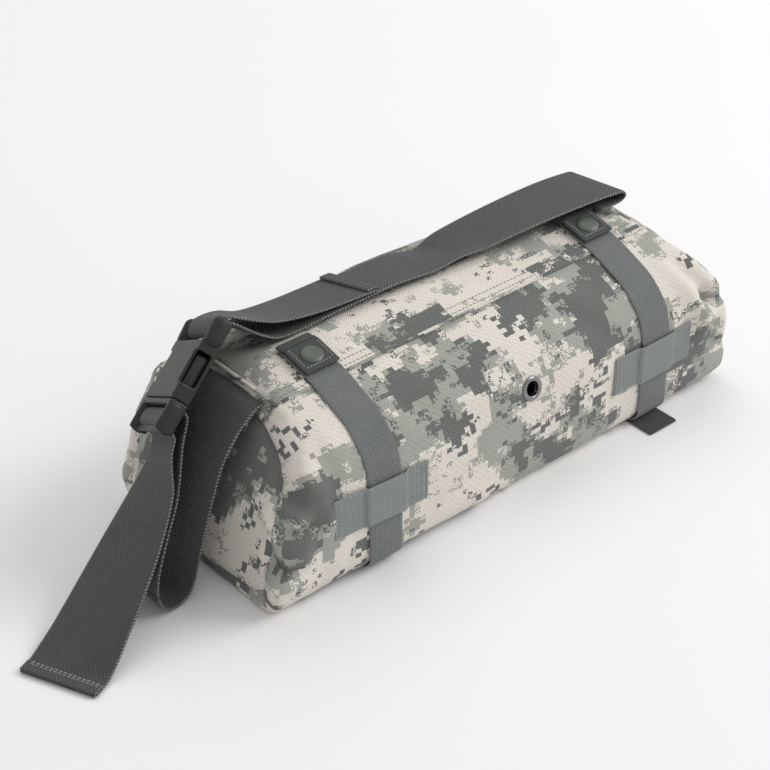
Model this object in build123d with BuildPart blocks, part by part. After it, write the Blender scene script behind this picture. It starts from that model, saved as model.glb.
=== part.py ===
"""A soft waist pack lying on its front panel, with its belt, buckle and straps.

Millimetres. The origin is the centre of the face that the pack rests on, +X runs
along the pack, -Y is its bottom panel, +Y its zipped lid and +Z its back panel.
"""

from build123d import *
from math import atan2, cos, radians, sin
import os

# ---- driving dimensions ------------------------------------------------------
pack_length = 380.0  # end to end, at the widest level
end_slant = 38.0  # how far each end stands out beyond the top seam
pack_height = 160.5  # bottom panel to lid
pack_depth = 117.0  # front panel to the ridge of the back panel
lid_side_depth = 86.0  # front panel to the lid's top edge
wall = 2.0  # coated fabric with its lining
clear = 0.3  # gap between pieces that move or lie loose

webbing_width = 25.4  # compression straps, keepers and tabs
webbing_thick = 1.4
belt_width = 50.8
belt_thick = 1.6
strap_inset = 38.0  # strap centre from the top seam's end
keeper_length = 65.0
keeper_z = 50.0  # keeper centre above the ground

lock_length = 26.0  # ladder lock, along the strap
lock_rail = 3.0
lock_bar = 3.0
lock_thick = 6.6
lock_mid_y = -45.0

tab_length = 26.0
tab_thick = 2.2
snap_cap_radius = 7.5
snap_ring_radius = 6.5
snap_knob_radius = 2.4
snap_play = 0.45

eyelet_bore = 4.75
eyelet_radius = 8.0
eyelet_x = 6.0
eyelet_barrel = 0.8  # wall of the eyelet's barrel
eyelet_flange = 0.7

zip_gap = 0.5  # between the two rows of teeth
zip_teeth = 1.6
zip_tape = 7.0
zip_tape_thick = 0.8
lid_inset = 52.0  # the lid's end from the pack's end
lid_height = 57.0
slider_length = 11.0
slider_plate = 1.2
pull_length = 24.0

buckle_rail = 4.6  # the buckle's side rails
buckle_play = 1.0  # between a rail and the belt's edge
buckle_thick = 12.0
buckle_wall = 2.4
buckle_body = 38.0  # closed part of the female half
buckle_end = 14.0  # shoulders and bar of the female half
buckle_ladder = 20.0  # the male half outside the female one
buckle_bar = 2.2  # radius of the webbing bars
prong_length = 30.0
prong_width = 6.0
buckle_seat = (-24.742, 19.95, -8.928)  # its inner face from the seam's left end at the ridge
buckle_along = (0.772, 0.186, 0.607)  # towards the female end
buckle_face = (-0.593, 0.550, 0.588)  # out of the outer face

# ---- outline of the pack, seen from its end -----------------------------------
bottom_y = -pack_height / 2
lid_y = pack_height / 2
flat_low = 28.0  # the bottom panel stands upright between these two levels
flat_high = 64.0
seam = (bottom_y + 50.0, pack_depth - 7.0)
ridge = (lid_y - 78.5, pack_depth)
bottom_outline = [
    (bottom_y + 12.0, 0.0),
    (bottom_y + 2.5, 12.0),
    (bottom_y, flat_low),
    (bottom_y, flat_high),
    (bottom_y + 5.0, flat_high + 18.0),
    (bottom_y + 19.5, flat_high + 33.0),
    seam,
    ridge,
]
rear_outline = [
    (ridge[0] + 28.0, pack_depth - 5.0),
    (lid_y - 20.0, pack_depth - 17.0),
    (lid_y, lid_side_depth),
    (lid_y, 12.0),
    (lid_y - 10.0, 0.0),
]
half = pack_length / 2
seam_half = half - end_slant
strap_x = seam_half - strap_inset
lid_length = pack_length - 2 * lid_inset
end_outline = [
    (seam_half - 32.0, pack_depth + 13.0),
    (seam_half, pack_depth - 9.0),
    (half, 56.0),
    (half - 3.0, 12.0),
    (half - 7.0, -6.0),
]
corner_radius = 24.0

channel_half = webbing_width / 2 + 1.6
channel_height = 4.4
pocket_half = webbing_width / 2 + lock_rail + 1.4
pocket_height = lock_thick + 2.6
pocket_start = lock_mid_y - lock_length / 2 - 3.0
pocket_end = lock_mid_y + lock_length / 2 + 22.0

under_strap_z = 2.9  # strap where it runs beneath the pack
under_tail_z = 0.9  # its loose end, below it
sides = {"left": -1, "right": 1}


def write(part, name):
    """Label a finished piece and write its file."""
    part.label = name
    export_step(part, f"parts/{name}.step")


def offset_outline(points, distance):
    """The inner corners of an open outline, moved outwards by a distance."""
    moved = []
    for before, here, after in zip(points, points[1:], points[2:]):
        first = (Vector(*here) - Vector(*before)).normalized()
        second = (Vector(*after) - Vector(*here)).normalized()
        normal = (first + second).normalized().rotate(Axis.Z, 90)
        stretch = distance / normal.dot(first.rotate(Axis.Z, 90))
        moved.append((here[0] + normal.X * stretch, here[1] + normal.Y * stretch))
    return moved


def ring_prism(shrink):
    """The pack's section, drawn out along X."""
    with BuildPart() as prism:
        with BuildSketch(Plane.YZ):
            with BuildLine():
                Polyline(*bottom_outline, *rear_outline, close=True)
            make_face()
            if shrink:
                offset(amount=-shrink, kind=Kind.INTERSECTION, mode=Mode.REPLACE)
        extrude(amount=pack_length, both=True)
    return prism.part


def end_prism(shrink):
    """The pack's slanted ends, drawn out along Y."""
    mirrored = [(-x, z) for x, z in reversed(end_outline)]
    with BuildPart() as prism:
        with BuildSketch(Plane.XZ):
            with BuildLine():
                Polyline(*end_outline, *mirrored, close=True)
            make_face()
            if shrink:
                offset(amount=-shrink, kind=Kind.INTERSECTION, mode=Mode.REPLACE)
        extrude(amount=pack_height, both=True)
    return prism.part


def plan_prism(shrink):
    """The pack's rounded upright corners."""
    with BuildPart() as prism:
        with BuildSketch(Plane.XY.offset(-10)):
            RectangleRounded(pack_length + 1 - 2 * shrink, pack_height + 1 - 2 * shrink, corner_radius)
        extrude(amount=pack_depth + 30)
    return prism.part


def strap_dents(grow):
    """The channels and pockets that the straps and ladder locks press into the front."""
    with BuildPart() as dents:
        for side in sides.values():
            with BuildSketch(Plane.XY.offset(-5)):
                with Locations((side * strap_x, (bottom_y - 10 + pocket_end + grow) / 2)):
                    Rectangle(2 * (channel_half + grow), pocket_end + grow - bottom_y + 10)
            extrude(amount=5 + channel_height + grow)
            with BuildSketch(Plane.XY.offset(-5)):
                with Locations((side * strap_x, (pocket_start + pocket_end) / 2)):
                    Rectangle(2 * (pocket_half + grow), pocket_end - pocket_start + 2 * grow)
            extrude(amount=5 + pocket_height + grow)
    return dents.part


core = (end_prism(wall) & plan_prism(wall)) - strap_dents(wall)
hollow = core & ring_prism(wall)
outside = (ring_prism(0) & end_prism(0) & plan_prism(0)) - strap_dents(0)
shell = outside - hollow
sleeve = shell & end_prism(wall)


def block(x_range, y_range, z_range):
    """A box between the given limits."""
    size = [high - low for low, high in (x_range, y_range, z_range)]
    middle = [(high + low) / 2 for low, high in (x_range, y_range, z_range)]
    return Pos(*middle) * Box(*size, mode=Mode.PRIVATE)


wide = (-pack_length, pack_length)
lid_top = lid_side_depth - 3.0
lid_low = lid_top - lid_height


def panel(name, source, region, cuts=()):
    """One panel: the shell inside a region, less any cuts."""
    with BuildPart() as piece:
        add(source)
        add(region, mode=Mode.INTERSECT)
        for cut in cuts:
            add(cut, mode=Mode.SUBTRACT)
    write(piece.part, name)


os.makedirs("parts", exist_ok=True)

# ---- the fabric body ------------------------------------------------------------
eyelet_lean = atan2(5.0, 18.0)
eyelet_plane = Plane(
    origin=(eyelet_x, bottom_y + 2.5, flat_high + 9.0),
    x_dir=(1, 0, 0),
    z_dir=(0, -cos(eyelet_lean), sin(eyelet_lean)),
)
with BuildPart() as eyelet_hole:
    with BuildSketch(eyelet_plane):
        Circle(eyelet_bore + eyelet_barrel)
    extrude(amount=6, both=True)

lid_hole = block((-lid_length / 2, lid_length / 2), (lid_y - 20, lid_y + 5), (lid_low, lid_top))
pocket_top = wall + pocket_height
front_region = block(wide, (bottom_y - 1, lid_y + 1), (-1, pocket_top + 1))
pocket_reach = strap_x + pocket_half + wall + 1.0
upper_front = [
    block(wide, (-pack_height, bottom_y + 13), (wall, pack_depth)),
    block(wide, (pocket_end + wall + 1.0, pack_height), (wall, pack_depth)),
    block((-pack_length, -pocket_reach), (-pack_height, pack_height), (wall, pack_depth)),
    block((pocket_reach, pack_length), (-pack_height, pack_height), (wall, pack_depth)),
]
panel("front_panel", sleeve, front_region, upper_front)
panel(
    "bottom_panel",
    sleeve,
    block(wide, (-pack_height, seam[0]), (wall, pack_depth + 5)),
    [eyelet_hole.part, block(wide, (bottom_y + 13, seam[0] + 1), (-1, flat_high))],
)
panel("back_panel", sleeve, block(wide, (seam[0], lid_y + 1), (lid_side_depth - 1.5, pack_depth + 5)))
panel(
    "lid_surround",
    sleeve,
    block(wide, (lid_y - 12, lid_y + 1), (wall, lid_side_depth - 1.5)),
    [lid_hole],
)
caps = shell - end_prism(wall)
panel("end_panel_left", caps, block((-pack_length, 0), (-pack_height, pack_height), (-1, pack_depth + 5)))
panel("end_panel_right", caps, block((0, pack_length), (-pack_height, pack_height), (-1, pack_depth + 5)))

# ---- piping on the top seam, in the stretches that the straps leave open ----------
piping_half = 1.3
with BuildPart() as seam_piping:
    inner = strap_x - webbing_width / 2 - 1.0
    outer = strap_x + webbing_width / 2 + 1.0
    seam_stop = seam_half - 4.0
    for start, stop in ((-seam_stop, -outer), (-inner, inner), (outer, seam_stop)):
        with BuildSketch(Plane.YZ.offset(start)):
            with Locations((seam[0] - 0.5, seam[1] + 0.2)):
                Circle(piping_half)
        extrude(amount=stop - start)
    add(outside, mode=Mode.SUBTRACT)
write(seam_piping.part, "seam_piping")

# ---- drain eyelet -------------------------------------------------------------------
with BuildPart() as drain_eyelet:
    with BuildSketch(eyelet_plane):
        Circle(eyelet_radius)
    extrude(amount=eyelet_flange)
    with BuildSketch(eyelet_plane.offset(-wall)):
        Circle(eyelet_bore + eyelet_barrel)
    extrude(amount=wall)
    with BuildSketch(eyelet_plane.offset(-wall)):
        Circle(eyelet_bore)
    extrude(amount=wall + eyelet_flange, mode=Mode.SUBTRACT)
    eyelet_axis = Axis(eyelet_plane.origin, eyelet_plane.z_dir)
    rim = drain_eyelet.edges().filter_by(GeomType.CIRCLE).group_by(eyelet_axis)
    fillet(rim[-1].sort_by(SortBy.RADIUS)[-1], 0.4)
write(drain_eyelet.part, "drain_eyelet")

with BuildPart() as eyelet_washer:
    with BuildSketch(eyelet_plane.offset(-wall - eyelet_flange)):
        Circle(eyelet_radius - 0.5)
        Circle(eyelet_bore, mode=Mode.SUBTRACT)
    extrude(amount=eyelet_flange)
write(eyelet_washer.part, "eyelet_washer")

# ---- compression straps -------------------------------------------------------------
strap_offset = clear + webbing_thick / 2
slope = atan2(ridge[1] - seam[1], ridge[0] - seam[0])
along_slope = Vector(cos(slope), sin(slope))
off_slope = Vector(-sin(slope), cos(slope))
strap_top = Vector(*ridge) - along_slope * 3.0 + off_slope * strap_offset
face_points = offset_outline(bottom_outline, strap_offset)[1:]
lock_front = lock_mid_y - lock_length / 2
bar_z = 3.9
over_bar_z = bar_z + lock_bar / 2 + clear + webbing_thick / 2 + 0.15
turn_radius = (over_bar_z - under_tail_z) / 2 - 0.01
turn_y = lock_mid_y + lock_bar / 2 + clear + turn_radius + 0.2
strap_path = [
    (strap_top.X, strap_top.Y),
    *reversed(face_points),
    (bottom_y + 1.6, 9.0),
    (bottom_y + 9.0, under_strap_z),
    (lock_front + lock_bar, under_strap_z),
    (lock_mid_y - lock_bar / 2 - 2.5, over_bar_z),
    (lock_mid_y, over_bar_z),
]
tail_reach = {"left": bottom_y + 15.0, "right": bottom_y - 14.0}

for name, side in sides.items():
    x_start = side * strap_x - webbing_width / 2
    with BuildPart() as strap:
        with BuildSketch(Plane.YZ.offset(x_start)):
            with BuildLine():
                FilletPolyline(*strap_path, radius=2.2)
            trace(line_width=webbing_thick)
        extrude(amount=webbing_width)
    write(strap.part, f"compression_strap_{name}")

    with BuildPart() as strap_tail:
        with BuildSketch(Plane.YZ.offset(x_start)):
            with BuildLine():
                FilletPolyline(
                    (lock_mid_y, over_bar_z),
                    (turn_y, over_bar_z),
                    (turn_y, under_tail_z),
                    (tail_reach[name], under_tail_z),
                    radius=turn_radius,
                )
            trace(line_width=webbing_thick)
        extrude(amount=webbing_width)
    write(strap_tail.part, f"strap_tail_{name}")

    with BuildPart() as keeper:
        bridge = webbing_width / 2 + 1.5
        lift = 2 * clear + webbing_thick
        y_low = bottom_y - webbing_thick / 2
        x_mid = side * strap_x
        with BuildSketch(Plane.XY.offset(keeper_z - webbing_width / 2)):
            with BuildLine():
                FilletPolyline(
                    (x_mid - keeper_length / 2, y_low),
                    (x_mid - bridge - 1.8, y_low),
                    (x_mid - bridge, y_low - lift),
                    (x_mid + bridge, y_low - lift),
                    (x_mid + bridge + 1.8, y_low),
                    (x_mid + keeper_length / 2, y_low),
                    radius=1.0,
                )
            trace(line_width=webbing_thick)
        extrude(amount=webbing_width)
    write(keeper.part, f"strap_keeper_{name}")

    lock_width = webbing_width + 2 * (lock_rail + clear)
    with BuildPart() as ladder_lock:
        for x_rail in (-1, 1):
            with BuildSketch(Plane.XY.offset(clear)):
                with Locations((x_mid + x_rail * (lock_width - lock_rail) / 2, lock_mid_y)):
                    Rectangle(lock_rail, lock_length)
            extrude(amount=lock_thick)
        with BuildSketch(Plane.YZ.offset(x_mid - lock_width / 2)):
            with Locations((lock_mid_y, bar_z)):
                Rectangle(lock_bar, lock_bar - 0.4)
            with Locations((lock_front + 1.5, lock_thick - 0.7)):
                Rectangle(lock_bar, 2.0)
            with Locations((lock_mid_y + lock_length / 2 - lock_bar / 2, bar_z)):
                Circle(lock_bar / 2)
        extrude(amount=lock_width)
    write(ladder_lock.part, f"ladder_lock_{name}")

    with BuildPart() as lock_anchor:
        rear_bar = lock_mid_y + lock_length / 2 - lock_bar / 2
        wrap = lock_bar / 2 + clear + webbing_thick / 2
        with BuildSketch(Plane.YZ.offset(x_start)):
            with BuildLine():
                FilletPolyline(
                    (pocket_end - 1.0, bar_z + wrap),
                    (rear_bar - wrap, bar_z + wrap),
                    (rear_bar - wrap, bar_z - wrap),
                    (pocket_end - 1.0, bar_z - wrap),
                    radius=wrap - 0.01,
                )
            trace(line_width=webbing_thick)
        extrude(amount=webbing_width)
    write(lock_anchor.part, f"lock_anchor_{name}")

# ---- snap tabs: each lies on its strap's top end and turns up about its sewn edge ---
stud_from = clear + webbing_thick
knob_height = 1.5
tab_under = stud_from + 1.5
tab_over = tab_under + tab_thick
root_back = 4.5  # the tab's sewn edge, short of the ridge
cap_back = 10.0  # cap centre from the tab's free end


def slope_plane(x, down, rise):
    """A plane on the back panel's slope, a distance down from the ridge."""
    point = Vector(*ridge) - along_slope * down + off_slope * rise
    return Plane(origin=(x, point.X, point.Y), x_dir=(1, 0, 0), z_dir=(0, off_slope.X, off_slope.Y))


snap_down = root_back + tab_length - cap_back
for name, side in sides.items():
    x_mid = side * strap_x
    with BuildPart() as tab:
        with BuildSketch(slope_plane(x_mid, root_back + tab_length / 2, tab_under)):
            RectangleRounded(webbing_width, tab_length, 1.5)
        extrude(amount=tab_thick)
        with BuildSketch(slope_plane(x_mid, snap_down, tab_under)):
            Circle(snap_ring_radius)
        extrude(amount=tab_thick - 0.8, mode=Mode.SUBTRACT)
        with BuildSketch(slope_plane(x_mid, snap_down, tab_under)):
            Circle(2.0)
        extrude(amount=tab_thick, mode=Mode.SUBTRACT)
    write(tab.part, f"snap_tab_{name}")

    with BuildPart() as cap:
        with BuildSketch(slope_plane(x_mid, snap_down, tab_over)):
            Circle(snap_cap_radius)
        extrude(amount=2.0)
        fillet(cap.faces().sort_by(Axis((0, 0, 0), (0, off_slope.X, off_slope.Y)))[-1].edges(), 1.6)
        with BuildSketch(slope_plane(x_mid, snap_down, tab_over - 0.8)):
            Circle(2.0)
        extrude(amount=0.8)
    write(cap.part, f"snap_cap_{name}")

    with BuildPart() as socket:
        with BuildSketch(slope_plane(x_mid, snap_down, stud_from + 0.8)):
            Circle(snap_ring_radius)
            Circle(snap_knob_radius + snap_play, mode=Mode.SUBTRACT)
        extrude(amount=tab_over - 0.8 - stud_from - 0.8)
        with BuildSketch(slope_plane(x_mid, snap_down, tab_over - 1.1)):
            Circle(snap_ring_radius)
        extrude(amount=0.3)
    write(socket.part, f"snap_socket_{name}")

    with BuildPart() as stud:
        with BuildSketch(slope_plane(x_mid, snap_down, stud_from)):
            Circle(snap_ring_radius - 0.5)
        extrude(amount=0.6)
        with BuildSketch(slope_plane(x_mid, snap_down, stud_from + 0.6)):
            Circle(snap_knob_radius)
        extrude(amount=knob_height)
    write(stud.part, f"snap_stud_{name}")

    with BuildPart() as tab_root:
        for low, high, start in ((-3.0, 2.5, 0.0), (2.5, root_back - clear, tab_under)):
            with BuildSketch(slope_plane(x_mid, (low + high) / 2, start)):
                Rectangle(webbing_width, high - low)
            extrude(amount=tab_over - start)
    write(tab_root.part, f"tab_root_{name}")

# ---- zipper and lid ------------------------------------------------------------------
lid_span = lid_length / 2
with BuildPart() as lid:
    x_limit = lid_span - clear
    with BuildSketch(Plane.XZ.offset(-lid_y)):
        with Locations((0, (lid_low + lid_top) / 2)):
            Rectangle(2 * x_limit, lid_height - 2 * clear)
    extrude(amount=wall)
write(lid.part, "lid_panel")


def lid_strip(name, z_from, z_to, y_from, y_to, x_half):
    """A strip along the lid's lower edge."""
    with BuildPart() as strip:
        add(block((-x_half, x_half), (y_from, y_to), (z_from, z_to)))
    write(strip.part, name)


tape_face = lid_y + zip_tape_thick
zip_middle = lid_low
teeth_low = zip_middle - zip_gap / 2
teeth_high = zip_middle + zip_gap / 2
zip_half = lid_span - 4.0
lid_strip("zip_tape_body", teeth_low - zip_tape, teeth_low, lid_y, tape_face, zip_half)
lid_strip("zip_tape_lid", teeth_high, teeth_high + zip_tape, lid_y, tape_face, zip_half)
lid_strip("zip_teeth_body", teeth_low - zip_teeth, teeth_low, tape_face, tape_face + zip_teeth, zip_half)
lid_strip("zip_teeth_lid", teeth_high, teeth_high + zip_teeth, tape_face, tape_face + zip_teeth, zip_half)

with BuildPart() as zip_stops:
    for side in sides.values():
        add(block(
            (side * (zip_half + 1.5) - 1.2, side * (zip_half + 1.5) + 1.2),
            (lid_y, tape_face + zip_teeth),
            (teeth_low - zip_teeth, teeth_low),
        ))
write(zip_stops.part, "zip_end_stops")

slider_face = tape_face + zip_teeth + clear
slider_half = zip_gap / 2 + zip_teeth + 2.2
bail = 1.6
pull_face = slider_face + slider_plate + clear
for name, side in sides.items():
    near = side * 1.0
    far = side * (1.0 + slider_length)
    x_range = (min(near, far), max(near, far))
    with BuildPart() as slider:
        plate_z = (zip_middle - slider_half, zip_middle + slider_half)
        add(block(x_range, (slider_face, slider_face + slider_plate), plate_z))
        flange = (zip_middle + zip_gap / 2 + zip_teeth + clear, zip_middle + slider_half)
        add(block(x_range, (tape_face + 0.1, slider_face), flange))
        bail_x = side * (1.0 + slider_length / 2)
        for foot in (-1, 1):
            z_foot = zip_middle + foot * 3.0
            add(block(
                (bail_x - bail / 2, bail_x + bail / 2),
                (slider_face + slider_plate, pull_face + 2.6),
                (z_foot - 0.6, z_foot + 0.6),
            ))
    write(slider.part, f"zip_slider_{name}")

    with BuildPart() as pull:
        pin_y = pull_face + 1.4
        with BuildSketch(Plane.XY.offset(zip_middle - 3.0 + 0.6 + 0.15)):
            with Locations((bail_x, pin_y)):
                Circle(1.1)
        extrude(amount=6.0 - 1.2 - 0.3)
        reach = (bail_x + side * 0.6, bail_x + side * pull_length)
        add(block((min(reach), max(reach)), (pin_y - 0.6, pin_y + 0.6), (zip_middle - 2.2, zip_middle + 2.2)))
    write(pull.part, f"zip_pull_{name}")

# ---- side-release buckle, in its own frame: x to the female end, y across, z out ------
buckle_centre = Vector(-seam_half, *ridge) + Vector(*buckle_seat)
buckle_centre += Vector(*buckle_face).normalized() * buckle_thick / 2
frame = Plane(origin=buckle_centre, x_dir=buckle_along, z_dir=buckle_face)
across = frame.y_dir
female_top = (buckle_end + buckle_body + buckle_ladder) / 2
mouth_x = female_top - buckle_end - buckle_body
body_end = female_top - buckle_end
bar_x = female_top - 6.0
buckle_width = belt_width + 2 * (buckle_rail + buckle_play)
cavity_half = buckle_thick / 2 - buckle_wall
inner_half = buckle_width / 2 - buckle_wall


def local_box(x_range, y_range, z_range):
    """A box in the buckle's own frame."""
    return frame.location * block(x_range, y_range, z_range)


half_width = buckle_width / 2
half_thick = buckle_thick / 2
cavity_y = (-inner_half, inner_half)
cavity_z = (-cavity_half, cavity_half)
with BuildPart() as female:
    add(local_box((mouth_x, body_end), (-half_width, half_width), (-half_thick, half_thick)))
    fillet(female.edges().filter_by(Axis(frame.origin, frame.x_dir)), 2.0)
    add(local_box((mouth_x - 1, body_end - 3), cavity_y, cavity_z), mode=Mode.SUBTRACT)
    for side in (-1, 1):
        window = sorted((side * (inner_half - 3.4), side * (half_width + 1)))
        window_z = (-cavity_half, half_thick + 1)
        add(local_box((mouth_x + 10, body_end - 7), window, window_z), mode=Mode.SUBTRACT)
        shoulder = sorted((side * (half_width - buckle_rail), side * half_width))
        add(local_box((body_end, female_top), shoulder, (-half_thick + 0.6, half_thick - 0.6)))
    with BuildSketch(Plane(origin=frame.origin, x_dir=frame.x_dir, z_dir=frame.y_dir)):
        with Locations((bar_x, 0)):
            Circle(buckle_bar)
    extrude(amount=half_width - 1, both=True)
write(female.part, "buckle_female")

male_end = mouth_x - buckle_ladder
prong_y = inner_half - clear - prong_width / 2
prong_root_x = mouth_x + 3.0
rail_z = (-half_thick + 0.5, half_thick - 0.5)
prong_z = (-cavity_half + clear, cavity_half - clear)
bar_y = (-half_width + 1, half_width - 1)
bar_thick = (-1.6, 1.6)
with BuildPart() as male:
    for side in (-1, 1):
        side_rail = sorted((side * (half_width - buckle_rail), side * half_width))
        add(local_box((male_end, mouth_x - clear), side_rail, rail_z))
    for x_bar in (male_end + 2.0, (male_end + mouth_x) / 2 - 0.5):
        add(local_box((x_bar - 2.0, x_bar + 2.0), bar_y, bar_thick))
    add(local_box((mouth_x - 4.0, mouth_x - clear), bar_y, rail_z))
    tongue_half = inner_half - prong_width - 5.0
    add(local_box((mouth_x - 1, body_end - 5), (-tongue_half, tongue_half), bar_thick))
    for side in (-1, 1):
        root_block = sorted((side * (prong_y - prong_width / 2), side * (prong_y + prong_width / 2)))
        add(local_box((mouth_x - 1, prong_root_x), root_block, prong_z))
write(male.part, "buckle_male")

for name, side in (("near", -1), ("far", 1)):
    with BuildPart() as prong:
        arm = sorted((side * (prong_y - prong_width / 2), side * (prong_y + prong_width / 2)))
        add(local_box((prong_root_x + clear, prong_root_x + prong_length - 4), arm, prong_z))
        fillet(prong.edges().filter_by(Axis(frame.origin, frame.x_dir)), 1.2)
    write(prong.part, f"buckle_prong_{name}")

# ---- belt webbing: ribbons through stations of centre, direction across and tangent ----


def ribbon(name, stations, width, thick):
    """A strip of webbing through its stations, straight between them."""
    with BuildPart() as strip:
        for centre, side_way, tangent in stations:
            plane = Plane(origin=centre, x_dir=side_way, z_dir=tangent)
            with BuildSketch(plane):
                Rectangle(width, thick)
        loft(ruled=True)
    write(strip.part, name)


def tilted(x, behind, rise, tilt):
    """A station of the belt's top run: behind and above the ridge, tilted about X."""
    centre = (x, ridge[0] + behind, ridge[1] + rise)
    return (centre, (0, cos(radians(tilt)), sin(radians(tilt))), (1, 0, 0))


loop_radius = buckle_bar + clear + belt_thick / 2
loop_end_x = female_top + 1.0
belt_edge = Plane(
    origin=frame.origin - frame.y_dir * belt_width / 2,
    x_dir=frame.x_dir,
    z_dir=-frame.y_dir,
)
with BuildPart() as belt_loop:
    with BuildSketch(belt_edge):
        with BuildLine():
            FilletPolyline(
                (loop_end_x, loop_radius),
                (bar_x - loop_radius, loop_radius),
                (bar_x - loop_radius, -loop_radius),
                (loop_end_x, -loop_radius),
                radius=loop_radius - 0.01,
            )
        trace(line_width=belt_thick)
    extrude(amount=-belt_width)
write(belt_loop.part, "belt_loop")

ribbon_start_x = loop_end_x + 0.1
lower_start = frame.from_local_coords(Vector(ribbon_start_x, 0, -loop_radius))
upper_start = frame.from_local_coords(Vector(ribbon_start_x, 0, loop_radius))
belt_run = [
    (tuple(lower_start), tuple(across), buckle_along),
    tilted(seam_half * -0.7368, 34.25, -3.0, -22),
    tilted(seam_half * -0.4605, 32.25, -3.5, -18),
    tilted(seam_half * -0.1974, 30.25, -2.5, -15),
    tilted(0, 27.25, -2.2, -13),
    tilted(seam_half * 0.2632, 23.25, 0.5, -13),
    tilted(seam_half * 0.5263, 18.25, 5.5, -11),
    tilted(seam_half * 0.7895, 14.25, 8.0, -8),
    tilted(seam_half - 9, 12.25, 6.5, -7),
]
ribbon("belt_run", belt_run, belt_width, belt_thick)

layer_gap = belt_thick + 0.5
hem_start = seam_half * -0.3355
hem_length = 8.0
hem_thick = 4.4


def above(station, rise):
    """A station moved off its ribbon's upper face."""
    centre, side_way, tangent = station
    normal = Vector(*tangent).cross(Vector(*side_way)).normalized()
    return (tuple(Vector(*centre) + normal * rise), side_way, tangent)


def between(first, second, x):
    """The station at x between two stations of the top run."""
    share = (x - first[0][0]) / (second[0][0] - first[0][0])
    centre = Vector(*first[0]) * (1 - share) + Vector(*second[0]) * share
    side_way = Vector(*first[1]) * (1 - share) + Vector(*second[1]) * share
    return (tuple(centre), tuple(side_way), (1, 0, 0))


layer_stations = [above(station, layer_gap) for station in belt_run[1:4]]
layer_end = between(layer_stations[1], layer_stations[2], hem_start)
hem_end = between(layer_stations[1], layer_stations[2], hem_start + hem_length)
ribbon(
    "belt_layer",
    [(tuple(upper_start), tuple(across), buckle_along), *layer_stations[:2], layer_end],
    belt_width,
    belt_thick,
)
hem_lift = (hem_thick - belt_thick) / 2
ribbon("belt_hem", [above(layer_end, hem_lift), above(hem_end, hem_lift)], belt_width, hem_thick)

anchor_z = pack_depth + 1.2
turn_x = belt_run[-1][0][0]
turn_mid_z = (belt_run[-1][0][2] + anchor_z) / 2
turn_reach = (belt_run[-1][0][2] - anchor_z) / 2
turn_side = belt_run[-1][1]
turn_y_mid = belt_run[-1][0][1]
turn_stations = [belt_run[-1]]
for angle in (45, 0, -45, -90):
    around = radians(angle)
    turn_stations.append((
        (turn_x + 2 + turn_reach * cos(around), turn_y_mid, turn_mid_z + turn_reach * sin(around)),
        turn_side,
        (sin(around), 0, -cos(around)),
    ))
anchor_end = turn_stations[-1]
ribbon("belt_turn", turn_stations, belt_width, belt_thick)
ribbon(
    "belt_anchor_right",
    [anchor_end, ((strap_x + channel_half + 1.5, turn_y_mid, anchor_z), turn_side, (-1, 0, 0))],
    belt_width,
    belt_thick,
)

# The left webbing is sewn to the back panel, hangs down the end, turns on the ground
# and rises to the buckle's ladder; its loose end leaves the ladder and lies outwards.
end_x = -seam_half
fall_y = ridge[0] + 3.25
fall_top = pack_depth + 1.6
fall_start = min(end_x + 23.2, -strap_x - channel_half - 0.5)
straight = (0, 1, 0)
fall = [
    ((fall_start, fall_y, fall_top), straight, (-1, 0, 0)),
    ((end_x + 6, fall_y, fall_top - 0.4), straight, (-0.9, 0, -0.4)),
    ((end_x - 14, fall_y - 2, pack_depth - 12), straight, (-0.65, 0, -0.76)),
    ((end_x - 34, fall_y - 5, pack_depth - 37), straight, (-0.5, 0, -0.87)),
    ((end_x - 54, fall_y - 8, 40), straight, (-0.35, 0, -0.94)),
    ((end_x - 62, fall_y - 9, 16), straight, (-0.25, 0, -0.97)),
]
turn = [
    fall[-1],
    ((end_x - 68, fall_y - 10, 5.0), straight, (-0.7, 0, -0.7)),
    ((end_x - 78, fall_y - 11, 1.2), straight, (-1, 0, 0)),
    ((end_x - 83.4, fall_y - 11.5, 2.3), straight, (-0.87, 0, 0.5)),
    ((end_x - 87, fall_y - 12, 5.0), straight, (-0.6, 0, 0.8)),
    ((end_x - 91, fall_y - 12, 16), straight, (-0.1, 0, 1)),
]
rise = [
    turn[-1],
    ((end_x - 89, fall_y - 12, 30), (0, 1, -0.1), (0.35, 0.1, 0.93)),
    ((end_x - 76, fall_y - 7, 43), (0.05, 0.95, -0.3), (0.75, 0.3, 0.6)),
    ((end_x - 62, fall_y, 53), (0.1, 0.9, -0.4), (0.7, 0.3, 0.65)),
    ((end_x - 52, fall_y + 5, 67), (0.17, 0.86, -0.48), (0.35, 0.25, 0.9)),
    ((end_x - 47, fall_y + 7.5, 79), tuple(across), (0.35, 0.25, 0.9)),
]
ribbon("belt_fall", fall, belt_width, belt_thick)
ribbon("belt_bight", turn, belt_width, belt_thick)
ribbon("belt_rise", rise, belt_width, belt_thick)

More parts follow.
